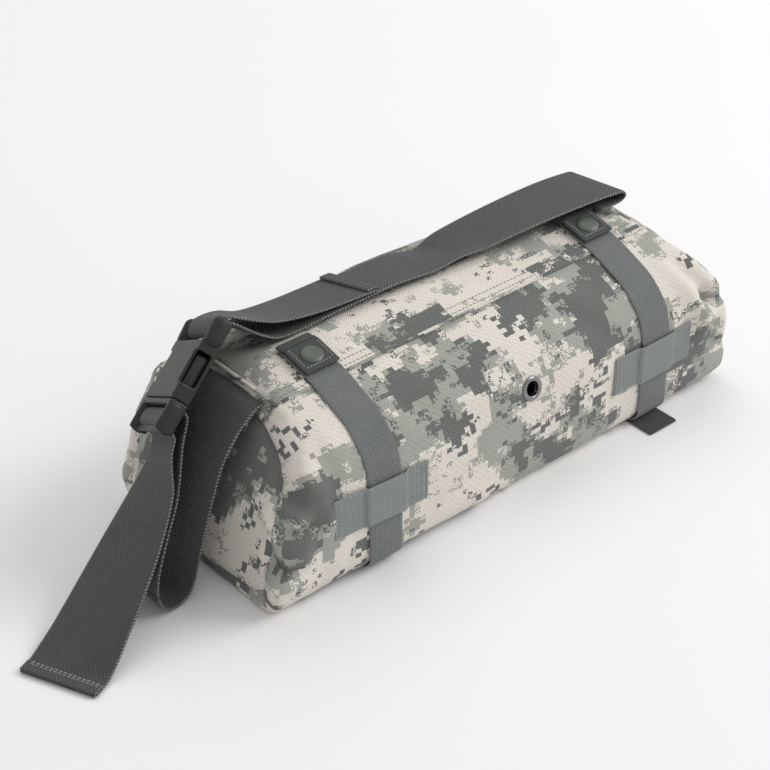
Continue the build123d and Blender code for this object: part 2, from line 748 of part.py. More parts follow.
tail = [
    ((end_x - 51.5, fall_y + 8, 83.5), tuple(across), (-0.45, -0.3, -0.84)),
    ((end_x - 57, fall_y + 4.5, 71), (0.17, 0.86, -0.48), (-0.4, -0.25, -0.88)),
    ((end_x - 69, fall_y - 2, 57.5), (0.0, 0.9, -0.4), (-0.75, -0.35, -0.56)),
    ((end_x - 98, fall_y - 16, 37), (-0.2, 0.93, -0.25), (-0.8, -0.4, -0.5)),
    ((end_x - 133, fall_y - 31, 14), (-0.33, 0.93, -0.1), (-0.8, -0.4, -0.45)),
    ((end_x - 151, fall_y - 38.5, 4.0), (-0.4, 0.91, 0), (-0.9, -0.4, -0.2)),
    ((end_x - 159, fall_y - 41.7, 1.6), (-0.41, 0.91, 0), (-0.91, -0.4, -0.1)),
    ((end_x - 167, fall_y - 45, 1.2), (-0.41, 0.91, 0), (-0.91, -0.41, 0)),
]
ribbon("belt_tail", tail, belt_width, belt_thick)
ribbon("tail_hem", [above(station, -belt_thick) for station in tail[-2:]], belt_width, belt_thick)

mid_bar = (male_end + mouth_x) / 2 - 0.5
wrap_half = 2.0 + clear + belt_thick / 2 + 1.3
wrap_rise = 1.6 + clear + belt_thick / 2
with BuildPart() as ladder_wrap:
    with BuildSketch(belt_edge):
        with BuildLine():
            FilletPolyline(
                (mid_bar - wrap_half, -half_thick + 1),
                (mid_bar - wrap_half, wrap_rise),
                (mid_bar + wrap_half, wrap_rise),
                (mid_bar + wrap_half, -half_thick + 1),
                radius=2.0,
            )
        trace(line_width=belt_thick)
    extrude(amount=-belt_width)
write(ladder_wrap.part, "ladder_wrap")
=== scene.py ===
"""The looks of a soft waist pack lying on its front panel, with its belt and buckle.

Metres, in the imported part's own frame: +X along the pack, -Y its bottom panel, +Y its
zipped lid and +Z its back panel.
"""

import math

import bmesh
import bpy
import numpy as np
from bpy.props import FloatProperty, FloatVectorProperty, PointerProperty
from mathutils import Matrix, Vector, noise
from mathutils.bvhtree import BVHTree


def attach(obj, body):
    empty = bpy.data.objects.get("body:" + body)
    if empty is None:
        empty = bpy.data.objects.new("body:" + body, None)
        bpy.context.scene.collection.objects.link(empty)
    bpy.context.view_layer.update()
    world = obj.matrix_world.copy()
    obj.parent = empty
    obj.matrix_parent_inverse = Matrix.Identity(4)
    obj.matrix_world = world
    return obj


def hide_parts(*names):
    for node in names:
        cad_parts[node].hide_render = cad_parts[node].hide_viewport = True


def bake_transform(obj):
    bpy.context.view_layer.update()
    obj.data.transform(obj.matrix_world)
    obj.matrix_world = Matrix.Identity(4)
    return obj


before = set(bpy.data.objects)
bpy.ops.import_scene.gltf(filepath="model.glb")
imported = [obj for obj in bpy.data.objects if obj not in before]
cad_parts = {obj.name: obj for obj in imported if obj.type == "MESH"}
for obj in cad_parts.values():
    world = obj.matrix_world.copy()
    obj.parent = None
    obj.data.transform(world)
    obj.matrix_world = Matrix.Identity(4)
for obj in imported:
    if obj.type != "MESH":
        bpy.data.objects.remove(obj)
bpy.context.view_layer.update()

bl_info = {
    "name": "Waist pack",
    "version": (1, 0, 0),
    "blender": (4, 5, 0),
    "location": "3D View > Sidebar > Waist pack",
    "description": "Builds a camouflage waist pack with its belt, straps, zip and buckle",
    "category": "Object",
}

MM = 0.001
SIDES = {"left": -1, "right": 1}

# Places in millimetres. Pairs are Y and Z.
TOP_SEAM = (-30.25, 110)
RIDGE = (1.75, 117)
LID_Y = 80.25
LID_LOW = 26.0
LID_TOP = 86.0
LID_HALF = 138.0
LID_EDGE = (LID_Y, LID_TOP)
LID_FOOT = (LID_Y, 12)
STRAP_X = 114.0
EYELET_X = 6
EYELET_Z = 73

# The pack's section, from the front edge of its bottom panel over its back panel to the
# foot of its lid side, and the outline of each end.
SECTION = [
    (-72.0, 0), (-80.0, 10.5), (-80.25, 28), (-80.25, 64), (-75.25, 82), (-60.75, 97), TOP_SEAM,
    RIDGE, (29.75, 112), (60.25, 100), LID_EDGE, LID_FOOT, (70.25, 0),
]
END = {
    -1: [(120, 130), (152, 108), (181, 58), (195, 18), (196, -6)],
    1: [(124, 130), (157, 108), (184, 58), (190, 18), (188, -6)],
}


def mm(*values):
    """A point given in millimetres."""
    return Vector(values) * MM


def towards(way):
    """The turn that points Z along a direction."""
    return way.to_track_quat("Z", "Y").to_matrix().to_4x4()


def smoothstep(low, high, value):
    """0 below low, 1 above high and a soft rise between them, for numbers and arrays."""
    share = np.clip((value - low) / (high - low), 0, 1)
    return share * share * (3 - 2 * share)


# ---- settings ---------------------------------------------------------------------


def size_setting(name, description, value):
    """A size that the sidebar shows, from its millimetres."""
    return FloatProperty(name=name, description=description, default=value * MM, subtype="DISTANCE")


def angle_setting(name, description, degrees):
    """An angle that the sidebar shows."""
    return FloatProperty(name=name, description=description, default=math.radians(degrees), subtype="ANGLE")


def colour_setting(name, description, *value):
    """A colour that the sidebar shows."""
    return FloatVectorProperty(name=name, description=description, default=value, subtype="COLOR")


class PackCloth(bpy.types.PropertyGroup):
    """Sizes and colours of the camouflage cloth."""

    bulge: size_setting("Bulge", "How far a panel may swell", 6.5)
    cell: size_setting("Print cell", "Side of one cell of the print", 3.3)
    thread: size_setting("Thread pitch", "Pitch of the cloth's threads", 1.5)
    thickness: size_setting("Cloth thickness", "Cloth with its lining", 1.7)
    tan: colour_setting("Sand", "Lightest colour of the print", 0.87, 0.81, 0.725)
    pale: colour_setting("Pale green", "Middle colour of the print", 0.40, 0.415, 0.365)
    slate: colour_setting("Slate", "Darkest colour of the print", 0.128, 0.139, 0.130)
    lining: colour_setting("Lining", "Coated inner face", 0.10, 0.105, 0.095)


class PackWebbing(bpy.types.PropertyGroup):
    """Sizes and colours of the webbing."""

    belt_width: size_setting("Belt width", "Width of the belt", 50.8)
    strap_width: size_setting("Strap width", "Width of the straps", 25.4)
    belt: colour_setting("Belt", "Colour of the belt", 0.068, 0.073, 0.066)
    strap: colour_setting("Straps", "Colour of the straps", 0.205, 0.220, 0.216)
    keeper: colour_setting("Keepers", "Colour of the keepers", 0.300, 0.325, 0.315)
    tab: colour_setting("Tabs", "Colour of the snap tabs", 0.062, 0.069, 0.065)
    selvage: colour_setting("Selvage", "Pale thread of the edges", 0.36, 0.39, 0.38)


class PackHardware(bpy.types.PropertyGroup):
    """Colours of the buckle, the snaps, the eyelet and the zip."""

    plastic: colour_setting("Plastic", "Colour of the buckle", 0.026, 0.029, 0.025)
    cap: colour_setting("Snap caps", "Painted colour of the caps", 0.105, 0.118, 0.102)
    steel: colour_setting("Eyelet", "Dark colour of the eyelet", 0.24, 0.245, 0.24)


class PackStage(bpy.types.PropertyGroup):
    """Camera and light."""

    azimuth: angle_setting("Azimuth", "Camera's turn from the -Y side", -40.7)
    elevation: angle_setting("Elevation", "Camera's height angle", 35.0)
    distance: size_setting("Distance", "Camera from its target", 1217)
    target: FloatVectorProperty(
        name="Target", description="Point in the middle of the view", default=(-0.0605, -0.018, 0.0742),
        subtype="XYZ",
    )
    lens: FloatProperty(name="Lens", description="Focal length in millimetres", default=93.5)
    key: FloatProperty(name="Key light", description="Power of the large light", default=50.0, unit="POWER")
    sky: FloatProperty(name="Sky", description="Strength of the light from all round", default=0.60)


# ---- shader maths -------------------------------------------------------------------


class Value:
    """A node's output, with the arithmetic that materials need."""

    def __init__(self, shader, socket):
        self.shader = shader
        self.socket = socket

    def math(self, operation, *others):
        return self.shader.maths(operation, self, *others)

    def __add__(self, other):
        return self.math("ADD", other)

    def __sub__(self, other):
        return self.math("SUBTRACT", other)

    def __rsub__(self, other):
        return self.shader.maths("SUBTRACT", other, self)

    def __mul__(self, other):
        return self.math("MULTIPLY", other)

    __radd__ = __add__
    __rmul__ = __mul__

    def above(self, limit):
        return self.math("GREATER_THAN", limit)

    def wave(self, pitch):
        """A sine that repeats every pitch."""
        return (self * (2 * math.pi / pitch)).math("SINE")

    def between(self, low, high):
        """0 below low, 1 above high, soft between them."""
        return self.shader.node(
            "MapRange",
            {"interpolation_type": "SMOOTHSTEP"},
            {"Value": self, "From Min": low, "From Max": high},
        )


class Shader:
    """One material's node tree."""

    def __init__(self, name):
        self.material = bpy.data.materials.new(name)
        self.material.use_nodes = True
        self.tree = self.material.node_tree
        self.tree.nodes.clear()

    def node(self, kind, settings=None, inputs=None, output=0):
        """Add a node: its settings come first, then its inputs' values or links."""
        node = self.tree.nodes.new("ShaderNode" + kind)
        for name, value in (settings or {}).items():
            setattr(node, name, value)
        for name, value in (inputs or {}).items():
            if isinstance(value, Value):
                self.tree.links.new(value.socket, node.inputs[name])
            else:
                node.inputs[name].default_value = value
        return Value(self, node.outputs[output])

    def maths(self, operation, *values):
        return self.node("Math", {"operation": operation}, dict(enumerate(values)))

    def vector(self, operation, first, second, socket=1):
        return self.node("VectorMath", {"operation": operation}, {0: first, socket: second})

    def mix(self, share, first, second, blend="MIX"):
        """Mix two colours."""
        settings = {"data_type": "RGBA", "blend_type": blend}
        return self.node("Mix", settings, {0: share, 6: first, 7: second}, 2)

    def grey(self, value):
        """A grey colour as bright as a value."""
        return self.node("CombineColor", None, dict.fromkeys(range(3), value))

    def axes(self, vector):
        """A vector's first two numbers."""
        return [self.node("SeparateXYZ", None, {0: vector}, index) for index in range(2)]

    def noise(self, vector, scale, detail=3.0, roughness=0.55, output=0):
        inputs = {"Vector": vector, "Scale": scale, "Detail": detail, "Roughness": roughness}
        return self.node("TexNoise", None, inputs, output)

    def surface(self, colour, roughness, height=None, depth=0.0, fixed=None):
        """The Principled shader with an optional bump, and the output."""
        inputs = {"Base Color": colour, "Roughness": roughness, **(fixed or {})}
        if height is not None:
            bump = {"Height": height, "Distance": depth, "Strength": 1.0}
            inputs["Normal"] = self.node("Bump", None, bump)
        shader = self.node("BsdfPrincipled", None, inputs)
        output = self.tree.nodes.new("ShaderNodeOutputMaterial")
        self.tree.links.new(shader.socket, output.inputs["Surface"])
        return self.material


def opaque(colour, share=1.0):
    """A colour with its alpha, darkened or lightened by a share."""
    return (*(channel * share for channel in colour), 1.0)


def camouflage(settings):
    """The square-celled print on a coarse plain weave."""
    shader = Shader("camouflage_cloth")
    cloth = shader.node("UVMap", {"uv_map": "cloth"})
    rough_edge = shader.noise(cloth, 620.0, 1.0, output=1)
    shift = shader.vector("SCALE", shader.vector("SUBTRACT", rough_edge, (0.5, 0.5, 0.5)), 0.0008, 3)
    place = shader.vector("ADD", cloth, shift)
    cell = settings.cell
    cells = shader.vector("SNAP", place, (cell * 1.25, cell, cell))
    grain = shader.node("TexWhiteNoise", {"noise_dimensions": "2D"}, {"Vector": cells})
    blobs = shader.noise(cells, 15.0, 4.0, 0.62)
    level = blobs + (grain - 0.5) * 0.03
    other = shader.noise(shader.vector("ADD", cells, (0.37, 0.71, 0.0)), 27.0, 3.0, 0.6)
    other_level = other + (grain - 0.5) * 0.04
    sand = level.above(0.492)
    slate = 1 - (level + (other - 0.5) * 0.35).above(0.458)
    pale_patch = other_level.above(0.575) * (1 - level.above(0.60))
    speck = other_level.math("LESS_THAN", 0.425) * level.above(0.50) * grain.above(0.55)
    colour = shader.mix(sand, opaque(settings.pale), opaque(settings.tan))
    colour = shader.mix(slate, colour, opaque(settings.slate))
    colour = shader.mix(pale_patch, colour, opaque(settings.pale))
    colour = shader.mix(speck, colour, opaque(settings.slate))
    across, along = shader.axes(cloth)
    pitch = settings.thread
    weave = across.wave(pitch) * along.wave(pitch)
    rib = (across + along).wave(pitch * 1.5) * 0.16
    fibre = shader.noise(cloth, 1500.0, 2.0)
    shade = (weave * 0.7 + rib) * 0.24 + (fibre - 0.5) * 0.22 + 0.95
    worn = shader.noise(cloth, 26.0, 3.0) * 0.18 + 0.91
    colour = shader.mix(weave.above(0.30) * 0.16, colour, opaque(settings.tan, 0.8))
    colour = shader.mix(1.0, colour, shader.grey(shade * worn), "MULTIPLY")
    height = weave * 0.5 + rib + fibre * 0.4
    sheen = {"Sheen Weight": 0.12, "Sheen Roughness": 0.5}
    return shader.surface(colour, 0.86 - weave * 0.06, height, 0.0004, sheen)


def coated_lining(settings):
    """The pack's dull coated inner face."""
    shader = Shader("coated_lining")
    cloth = shader.node("UVMap", {"uv_map": "cloth"})
    across, along = shader.axes(cloth)
    weave = across.wave(settings.thread) * along.wave(settings.thread)
    soft = shader.noise(cloth, 40.0, 4.0)
    colour = shader.mix(soft, opaque(settings.lining, 0.8), opaque(settings.lining, 1.3))
    return shader.surface(colour, soft * 0.2 + 0.5, weave, 0.00008)


def woven(name, colour, selvage, width, pitch, style, edge=1.5 * MM):
    """Webbing: u runs across it from its middle and v along it."""
    shader = Shader(name)
    cloth = shader.node("UVMap", {"uv_map": "cloth"})
    across, along = shader.axes(cloth)
    from_middle = across.math("ABSOLUTE")
    if style == "twill":
        height = (across + along * 0.7).wave(pitch) * 0.55 + (across - along * 1.3).wave(pitch) * 0.45
    elif style == "grid":
        weft = along.wave(pitch * 0.8)
        height = across.wave(pitch) * 0.55 + weft * 0.6 + across.wave(pitch) * weft
    else:
        height = along.wave(pitch) * 0.6 + (across * 1.6 + along).wave(pitch) * 0.5
    fibre = shader.noise(cloth, 1700.0, 2.0)
    soft = shader.noise(cloth, 55.0, 3.0)
    shade = height * 0.36 + (fibre - 0.5) * 0.5 + (soft - 0.5) * 0.3 + 0.95
    tint = shader.mix(1.0, shader.grey(shade), opaque(colour), "MULTIPLY")
    rim = from_middle.between(width / 2 - edge, width / 2 - edge * 0.7)
    twist = (along + from_middle * 1.2).wave(2.2 * MM).above(0.25) * rim
    tint = shader.mix(twist * 0.75, tint, opaque(selvage))
    sheen = {"Sheen Weight": 0.15, "Sheen Roughness": 0.45}
    return shader.surface(tint, 0.80 - height * 0.07, height + twist + fibre * 0.4, 0.00032, sheen)


def moulded(name, colour, roughness, bump=0.00004, metallic=0.0, shine=0.5):
    """Moulded plastic or painted metal, a little uneven in gloss."""
    shader = Shader(name)
    place = shader.node("TexCoord", None, None, 3)
    broad = shader.noise(place, 45.0, 4.0)
    fine = shader.noise(place, 2400.0, 2.0)
    tint = shader.mix(broad, opaque(colour, 0.86), opaque(colour, 1.16))
    drawn = shader.node("Mapping", None, {"Vector": place, "Scale": (1.0, 1.0, 7.0)})
    scuff = shader.noise(drawn, 160.0, 4.0)
    tint = shader.mix(scuff.between(0.62, 0.74) * 0.35, tint, opaque(colour, 2.2))
    gloss = broad * 0.16 + scuff.between(0.55, 0.7) * 0.12 + (roughness - 0.1)
    return shader.surface(tint, gloss, fine, bump, {"Metallic": metallic, "Specular IOR Level": shine})


def thread(name, colour):
    """Sewing thread with its twist."""
    shader = Shader(name)
    place = shader.node("TexCoord", None, None, 3)
    fibre = shader.noise(place, 2600.0, 3.0)
    tint = shader.mix(fibre, opaque(colour, 0.7), opaque(colour, 1.25))
    return shader.surface(tint, 0.7, fibre, 0.0001)


def studio_floor():
    """The seamless near-white floor."""
    shader = Shader("seamless_floor")
    place = shader.node("TexCoord", None, None, 3)
    soft = shader.noise(place, 3.0, 2.0)
    tint = shader.mix(soft, (0.90, 0.90, 0.905, 1), (0.92, 0.92, 0.925, 1))
    return shader.surface(tint, 0.75)


MATERIALS = {}


def make_materials(scene):
    """Every finish, by a short name."""
    cloth = scene.pack_cloth
    web = scene.pack_webbing
    hard = scene.pack_hardware
    MATERIALS.update(
        camo=camouflage(cloth),
        lining=coated_lining(cloth),
        belt=woven("belt_twill", web.belt, web.selvage, web.belt_width, 1.9 * MM, "twill"),
        strap=woven("strap_rib", web.strap, web.strap * 1.3, web.strap_width, 1.7 * MM, "grid", 0.9 * MM),
        keeper=woven(
            "keeper_grid", web.keeper, web.keeper * 1.3, web.strap_width, 1.75 * MM, "grid", 0.9 * MM
        ),
        tab=woven("tab_weave", web.tab, web.tab * 1.5, web.strap_width, 1.2 * MM, "rib", 0.8 * MM),
        zip_tape=woven("zip_tape", web.tab * 1.4, web.tab * 1.6, 14 * MM, 1.0 * MM, "rib", 0.6 * MM),
        plastic=moulded("moulded_plastic", hard.plastic, 0.48, shine=0.32),
        teeth=moulded("zip_coil", hard.plastic * 0.8, 0.42),
        cap=moulded("painted_cap", hard.cap, 0.46, 0.00003, 0.25),
        steel=moulded("dark_steel", hard.steel, 0.30, 0.00003, 0.9),
        zinc=moulded("painted_zinc", hard.plastic * 1.1, 0.40, 0.00003, 0.6),
        pale_thread=thread("pale_thread", (0.42, 0.45, 0.44)),
        grey_thread=thread("grey_thread", (0.20, 0.225, 0.225)),
        floor=studio_floor(),
    )


# ---- mesh helpers -------------------------------------------------------------------


def add_object(name, bm, finishes, smooth=True):
    """A new object from a bmesh, with its materials."""
    mesh = bpy.data.meshes.new(name)
    bm.to_mesh(mesh)
    bm.free()
    for finish in finishes:
        mesh.materials.append(MATERIALS[finish])
    for polygon in mesh.polygons:
        polygon.use_smooth = smooth
    piece = bpy.data.objects.new(name, mesh)
    bpy.context.scene.collection.objects.link(piece)
    return piece


def unwrap(bm, place):
    """Write where each corner lies on its flat cloth, from its vertex, in metres."""
    layer = bm.loops.layers.uv.new("cloth")
    for face in bm.faces:
        for loop in face.loops:
            loop[layer].uv = place(loop.vert)


def from_above(vertex):
    """A flat place for small solid pieces."""
    return vertex.co.x, vertex.co.y + vertex.co.z


def settle(piece, nodes=(), body="root", blend=None):
    """Give a piece its body and the nodes that it stands for; with a blend, the piece only has its place
    baked into its mesh and gets no body.
    """
    if blend:
        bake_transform(piece)
    else:
        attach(piece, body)
    if nodes:
        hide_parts(*nodes)
    return piece


def add_modifier(piece, kind, **settings):
    """A modifier with its settings."""
    modifier = piece.modifiers.new(kind.title(), kind)
    for name, value in settings.items():
        setattr(modifier, name, value)
    return modifier


def bake_modifiers(piece):
    """Put a piece's modifiers into its mesh."""
    evaluated = piece.evaluated_get(bpy.context.evaluated_depsgraph_get())
    mesh = bpy.data.meshes.new_from_object(evaluated)
    piece.modifiers.clear()
    piece.data = mesh


def smooth_route(stations, step):
    """Centres and side directions at even steps along a smooth curve through the stations."""
    centres = [Vector(station[0]) for station in stations]
    sides = [Vector(station[1]).normalized() for station in stations]
    route = []
    for index in range(len(stations) - 1):
        before, after = max(index - 1, 0), min(index + 2, len(stations) - 1)
        span = (centres[index + 1] - centres[index]).length
        count = max(2, round(span / step))
        for part in range(count):
            share = part / count
            route.append(tuple(
                catmull(values[before], values[index], values[index + 1], values[after], share)
                for values in (centres, sides)
            ))
    route.append((centres[-1], sides[-1]))
    return route


def catmull(before, start, end, after, share):
    """A point of the smooth curve from start to end."""
    return 0.5 * (
        2 * start
        + (end - before) * share
        + (2 * before - 5 * start + 4 * end - after) * share**2
        + (3 * start - before - 3 * end + after) * share**3
    )


def rounded_route(points, radius, side, step=1.2 * MM):
    """Straight runs with rounded corners, as stations that share one side direction."""
    line = [points[0]]
    for before, corner, after in zip(points, points[1:], points[2:]):
        back, onward = before - corner, after - corner
        reach = min(radius, back.length * 0.48, onward.length * 0.48)
        start, end = corner + back.normalized() * reach, corner + onward.normalized() * reach
        for part in range(7):
            share = part / 6
            line.append(start * (1 - share) ** 2 + corner * 2 * share * (1 - share) + end * share**2)
    line.append(points[-1])
    even = [line[0]]
    for start, end in zip(line, line[1:]):
        count = max(1, round((end - start).length / step / 2))
        even.extend(start.lerp(end, part / count) for part in range(1, count + 1))
    return [(point, side) for point in even]


def webbing(name, route, width, thick, finish, slot, nodes, body="root", blend=None, across=10):
    """A strip of webbing along a route of centres and side directions."""
    bm = bmesh.new()
    bmesh.ops.create_grid(bm, x_segments=across, y_segments=len(route) - 1, size=1.0)
    lengths = [0.0]
    for (start, _), (end, _) in zip(route, route[1:]):
        lengths.append(lengths[-1] + (end - start).length)
    flat = {}
    for vertex in bm.verts:
        row = round((vertex.co.y + 1) / 2 * (len(route) - 1))
        u = vertex.co.x * width / 2
        centre, side = route[row]
        flat[vertex] = (u, lengths[row])
        vertex.co = centre + side.normalized() * u
    unwrap(bm, flat.get)
    piece = add_object(name, bm, [finish])
    add_modifier(piece, "SOLIDIFY", thickness=thick, offset=0.0, use_even_offset=True)
    add_modifier(piece, "SUBSURF", levels=1, render_levels=1)
    if blend:
        bake_modifiers(piece)
    return settle(piece, nodes, body, blend)


def stitches(name, lines, finish="pale_thread", pitch=3.0, length=2.1, thick=0.32, body="root"):
    """Rows of single stitches along lines of points, their sizes in millimetres."""
    bm = bmesh.new()
    for line in lines:
        spans = [(end - start).length for start, end in zip(line, line[1:])]
        count = max(1, int(sum(spans) / (pitch * MM)))
        for index in range(count):
            reach = (index + 0.5) * (pitch * MM)
            part = 0
            while part < len(spans) - 1 and reach > spans[part]:
                reach -= spans[part]
                part += 1
            way = (line[part + 1] - line[part]).normalized()
            centre = line[part] + way * reach
            place = Matrix.Translation(centre) @ towards(way)
            size = Matrix.Diagonal((thick * MM, thick * MM, length * MM / 2, 1))
            bmesh.ops.create_uvsphere(bm, u_segments=6, v_segments=5, radius=1.0, matrix=place @ size)
    return settle(add_object(name, bm, [finish]), body=body)


def seam_roll(name, line, radius, nodes=(), sides=8):
    """A thin round roll of cloth along a line of points, closed at its ends."""
    bm = bmesh.new()
    rings = []
    for index, point in enumerate(line):
        way = (line[min(index + 1, len(line) - 1)] - line[max(index - 1, 0)]).normalized()
        place = Matrix.Translation(point) @ towards(way)
        made = bmesh.ops.create_circle(bm, segments=sides, radius=radius, matrix=place)
        rings.append(made["verts"])
    for pair in zip(rings, rings[1:]):
        edges = {edge for ring in pair for vertex in ring for edge in vertex.link_edges}
        bmesh.ops.bridge_loops(bm, edges=[
            edge for edge in edges if any(all(vertex in ring for vertex in edge.verts) for ring in pair)
        ])
    bmesh.ops.holes_fill(bm, edges=[edge for edge in bm.edges if edge.is_boundary], sides=sides)
    bmesh.ops.recalc_face_normals(bm, faces=bm.faces)
    unwrap(bm, from_above)
    return settle(add_object(name, bm, ["camo"]), nodes)


def turned(name, profile, place, finish, nodes=(), body="root", steps=48):
    """A round piece: a profile of radius and height, turned about its plane's axis."""
    bm = bmesh.new()
    points = [bm.verts.new((radius * MM, 0, height * MM)) for radius, height in profile]
    edges = [bm.edges.new(pair) for pair in zip(points, points[1:])]
    bmesh.ops.spin(
        bm, geom=[*points, *edges], cent=(0, 0, 0), axis=(0, 0, 1), angle=2 * math.pi, steps=steps,
        use_merge=True,
    )
    bmesh.ops.remove_doubles(bm, verts=bm.verts, dist=1e-6)
    bmesh.ops.recalc_face_normals(bm, faces=bm.faces)
    bmesh.ops.transform(bm, matrix=place, verts=bm.verts)
    return settle(add_object(name, bm, [finish]), nodes, body)


def round_edges(bm, edges, width, segments):
    """Bevel some edges round."""
    bmesh.ops.bevel(
        bm, geom=edges, offset=width, segments=segments, profile=0.5, affect="EDGES", material=-1,
        clamp_overlap=True,
    )


def softened(node, finish, width, segments=3, body="root"):
    """A CAD node's shape with its sharp edges rounded."""
    bm = bmesh.new()
    bm.from_mesh(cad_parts[node].data)
    bmesh.ops.remove_doubles(bm, verts=bm.verts, dist=2e-6)
    bmesh.ops.dissolve_limit(bm, angle_limit=math.radians(2), verts=bm.verts, edges=bm.edges)
    round_edges(bm, [
        edge for edge in bm.edges if len(edge.link_faces) == 2 and edge.calc_face_angle() > math.radians(35)
    ], width, segments)
    bmesh.ops.triangulate(bm, faces=[face for face in bm.faces if len(face.verts) > 4])
    unwrap(bm, from_above)
    piece = add_object(f"shaped_{node}", bm, [finish])
    piece.data.set_sharp_from_angle(angle=math.radians(40))
    return settle(piece, [node], body)


# ---- the cloth body ------------------------------------------------------------------


def pack_form():
    """The pack's outline as one closed form, with rounded upright corners."""
    bm = bmesh.new()
    ring = [bm.verts.new(mm(-200, y, z)) for y, z in SECTION]
    face = bm.faces.new(ring)
    grown = bmesh.ops.extrude_face_region(bm, geom=[face])
    moved = [item for item in grown["geom"] if isinstance(item, bmesh.types.BMVert)]
    bmesh.ops.translate(bm, verts=moved, vec=mm(400, 0, 0))
    bmesh.ops.recalc_face_normals(bm, faces=bm.faces)
    for side in SIDES.values():
        for (x_top, z_top), (x_low, z_low) in zip(END[side], END[side][1:]):
            normal = Vector((side * (z_top - z_low), 0, x_low - x_top)).normalized()
            bmesh.ops.bisect_plane(
                bm,
                geom=[*bm.verts, *bm.edges, *bm.faces],
                plane_co=mm(side * x_top, 0, z_top),
                plane_no=normal,
                clear_outer=True,
            )
            bmesh.ops.holes_fill(bm, edges=[edge for edge in bm.edges if edge.is_boundary], sides=0)
    corners = [
        edge for edge in bm.edges
        if len(edge.link_faces) == 2
        and all(abs(vertex.co.x) > 0.1 for vertex in edge.verts)
        and edge.calc_face_angle() > math.radians(50)
        and any(abs(face.normal.x) > 0.6 for face in edge.link_faces)
    ]
    round_edges(bm, corners, 11 * MM, 3)
    return bm


def held(co):
    """How firmly the cloth is held at each point, from 0, free, to 1."""
    x, y, z = co.T / MM
    off_strap = np.abs(np.abs(x) - STRAP_X)
    strap = 1 - smoothstep(15, 30, off_strap)
    strap *= 1 - smoothstep(2, 14, y)
    keeper = (1 - smoothstep(33, 45, off_strap)) * (1 - smoothstep(16, 28, np.abs(z - 50)))
    keeper *= 1 - smoothstep(-70, -55, y)
    eyelet = 1 - smoothstep(9, 32, np.sqrt((x - EYELET_X) ** 2 + (y + 78) ** 2 + (z - EYELET_Z) ** 2))
    zip_line = smoothstep(60, 76, y) * (1 - smoothstep(12, 26, np.abs(z - LID_LOW)))
    hinge = smoothstep(60, 76, y) * (1 - smoothstep(3, 12, np.abs(z - LID_TOP)))
    seam = 1 - smoothstep(2, 16, np.sqrt((y - TOP_SEAM[0]) ** 2 + (z - TOP_SEAM[1]) ** 2))
    under = 1 - smoothstep(1, 9, z)
    belt = smoothstep(-12, 4, y) * (1 - smoothstep(50, 62, y)) * smoothstep(98, 108, z) * 0.85
    parts = [strap, keeper, eyelet, zip_line, hinge, seam, under, belt]
    return 1 - np.prod([1 - part for part in parts], axis=0)


def places(mesh):
    """A mesh's vertices as rows of numbers."""
    co = np.empty(len(mesh.vertices) * 3, np.float32)
    mesh.vertices.foreach_get("co", co)
    return co.reshape(-1, 3).astype(float)


def directions(mesh):
    """The outward direction at each vertex."""
    out = np.empty(len(mesh.vertices) * 3, np.float32)
    mesh.vertex_normals.foreach_get("vector", out)
    return out.reshape(-1, 3).astype(float)


def put(mesh, co):
    """Move a mesh's vertices."""
    mesh.vertices.foreach_set("co", co.astype(np.float32).ravel())
    mesh.update()


def inflate(piece, bulge):
    """Let the filled pack swell as cloth, then limit how far each point has moved."""
    rest = places(piece.data)
    grip = held(rest)
    group = piece.vertex_groups.new(name="held")
    for index, weight in enumerate(grip):
        group.add([index], float(min(1.0, weight * 1.1)), "REPLACE")
    cloth = piece.modifiers.new("Cloth", "CLOTH")
    settings = cloth.settings
    settings.quality = 6
    settings.mass = 0.3
    settings.tension_stiffness = settings.compression_stiffness = 25
    settings.bending_stiffness = 1.2
    settings.use_pressure = True
    settings.uniform_pressure_force = 4.0
    settings.vertex_group_mass = "held"
    settings.effector_weights.gravity = 0
    cloth.collision_settings.use_collision = False
    cloth.point_cache.frame_end = 20
    scene = bpy.context.scene
    for step in range(1, 21):
        scene.frame_set(step)
    bake_modifiers(piece)
    scene.frame_set(1)
    moved = places(piece.data) - rest
    reach = np.linalg.norm(moved, axis=1)
    limit = bulge * (1 - grip)
    share = np.where(reach > 1e-9, np.minimum(1, limit / np.maximum(reach, 1e-9)), 0)
    put(piece.data, rest + moved * share[:, None])


def away_from(co, line):
    """Each point's distance from a line of points, and how far along it it lies."""
    best = np.full(len(co), 1e9)
    along = np.zeros(len(co))
    done = 0.0
    for start, end in zip(line, line[1:]):
        start, way = np.array(start), np.array(end) - np.array(start)
        share = np.clip((co - start) @ way / (way @ way), 0, 1)
        gap = np.linalg.norm(co - start - share[:, None] * way, axis=1)
        nearer = gap < best
        best = np.where(nearer, gap, best)
        along = np.where(nearer, done + share * np.linalg.norm(way), along)
        done += np.linalg.norm(way)
    return best, along / done


def crease(co, out, line, depth, width, taper=True):
    """Press a soft fold into the cloth along a line, with a low swell on each side."""
    gap, along = away_from(co, [np.array(point) * MM for point in line])
    fade = np.sin(np.pi * np.clip(along, 0.02, 0.98)) ** 0.6 if taper else 1.0
    near = np.exp(-((gap / (width * MM)) ** 2))
    beside = np.exp(-(((gap / MM - 2.1 * width) / (1.1 * width)) ** 2))
    return co - out * ((near - 0.45 * beside) * fade * depth * MM)[:, None]


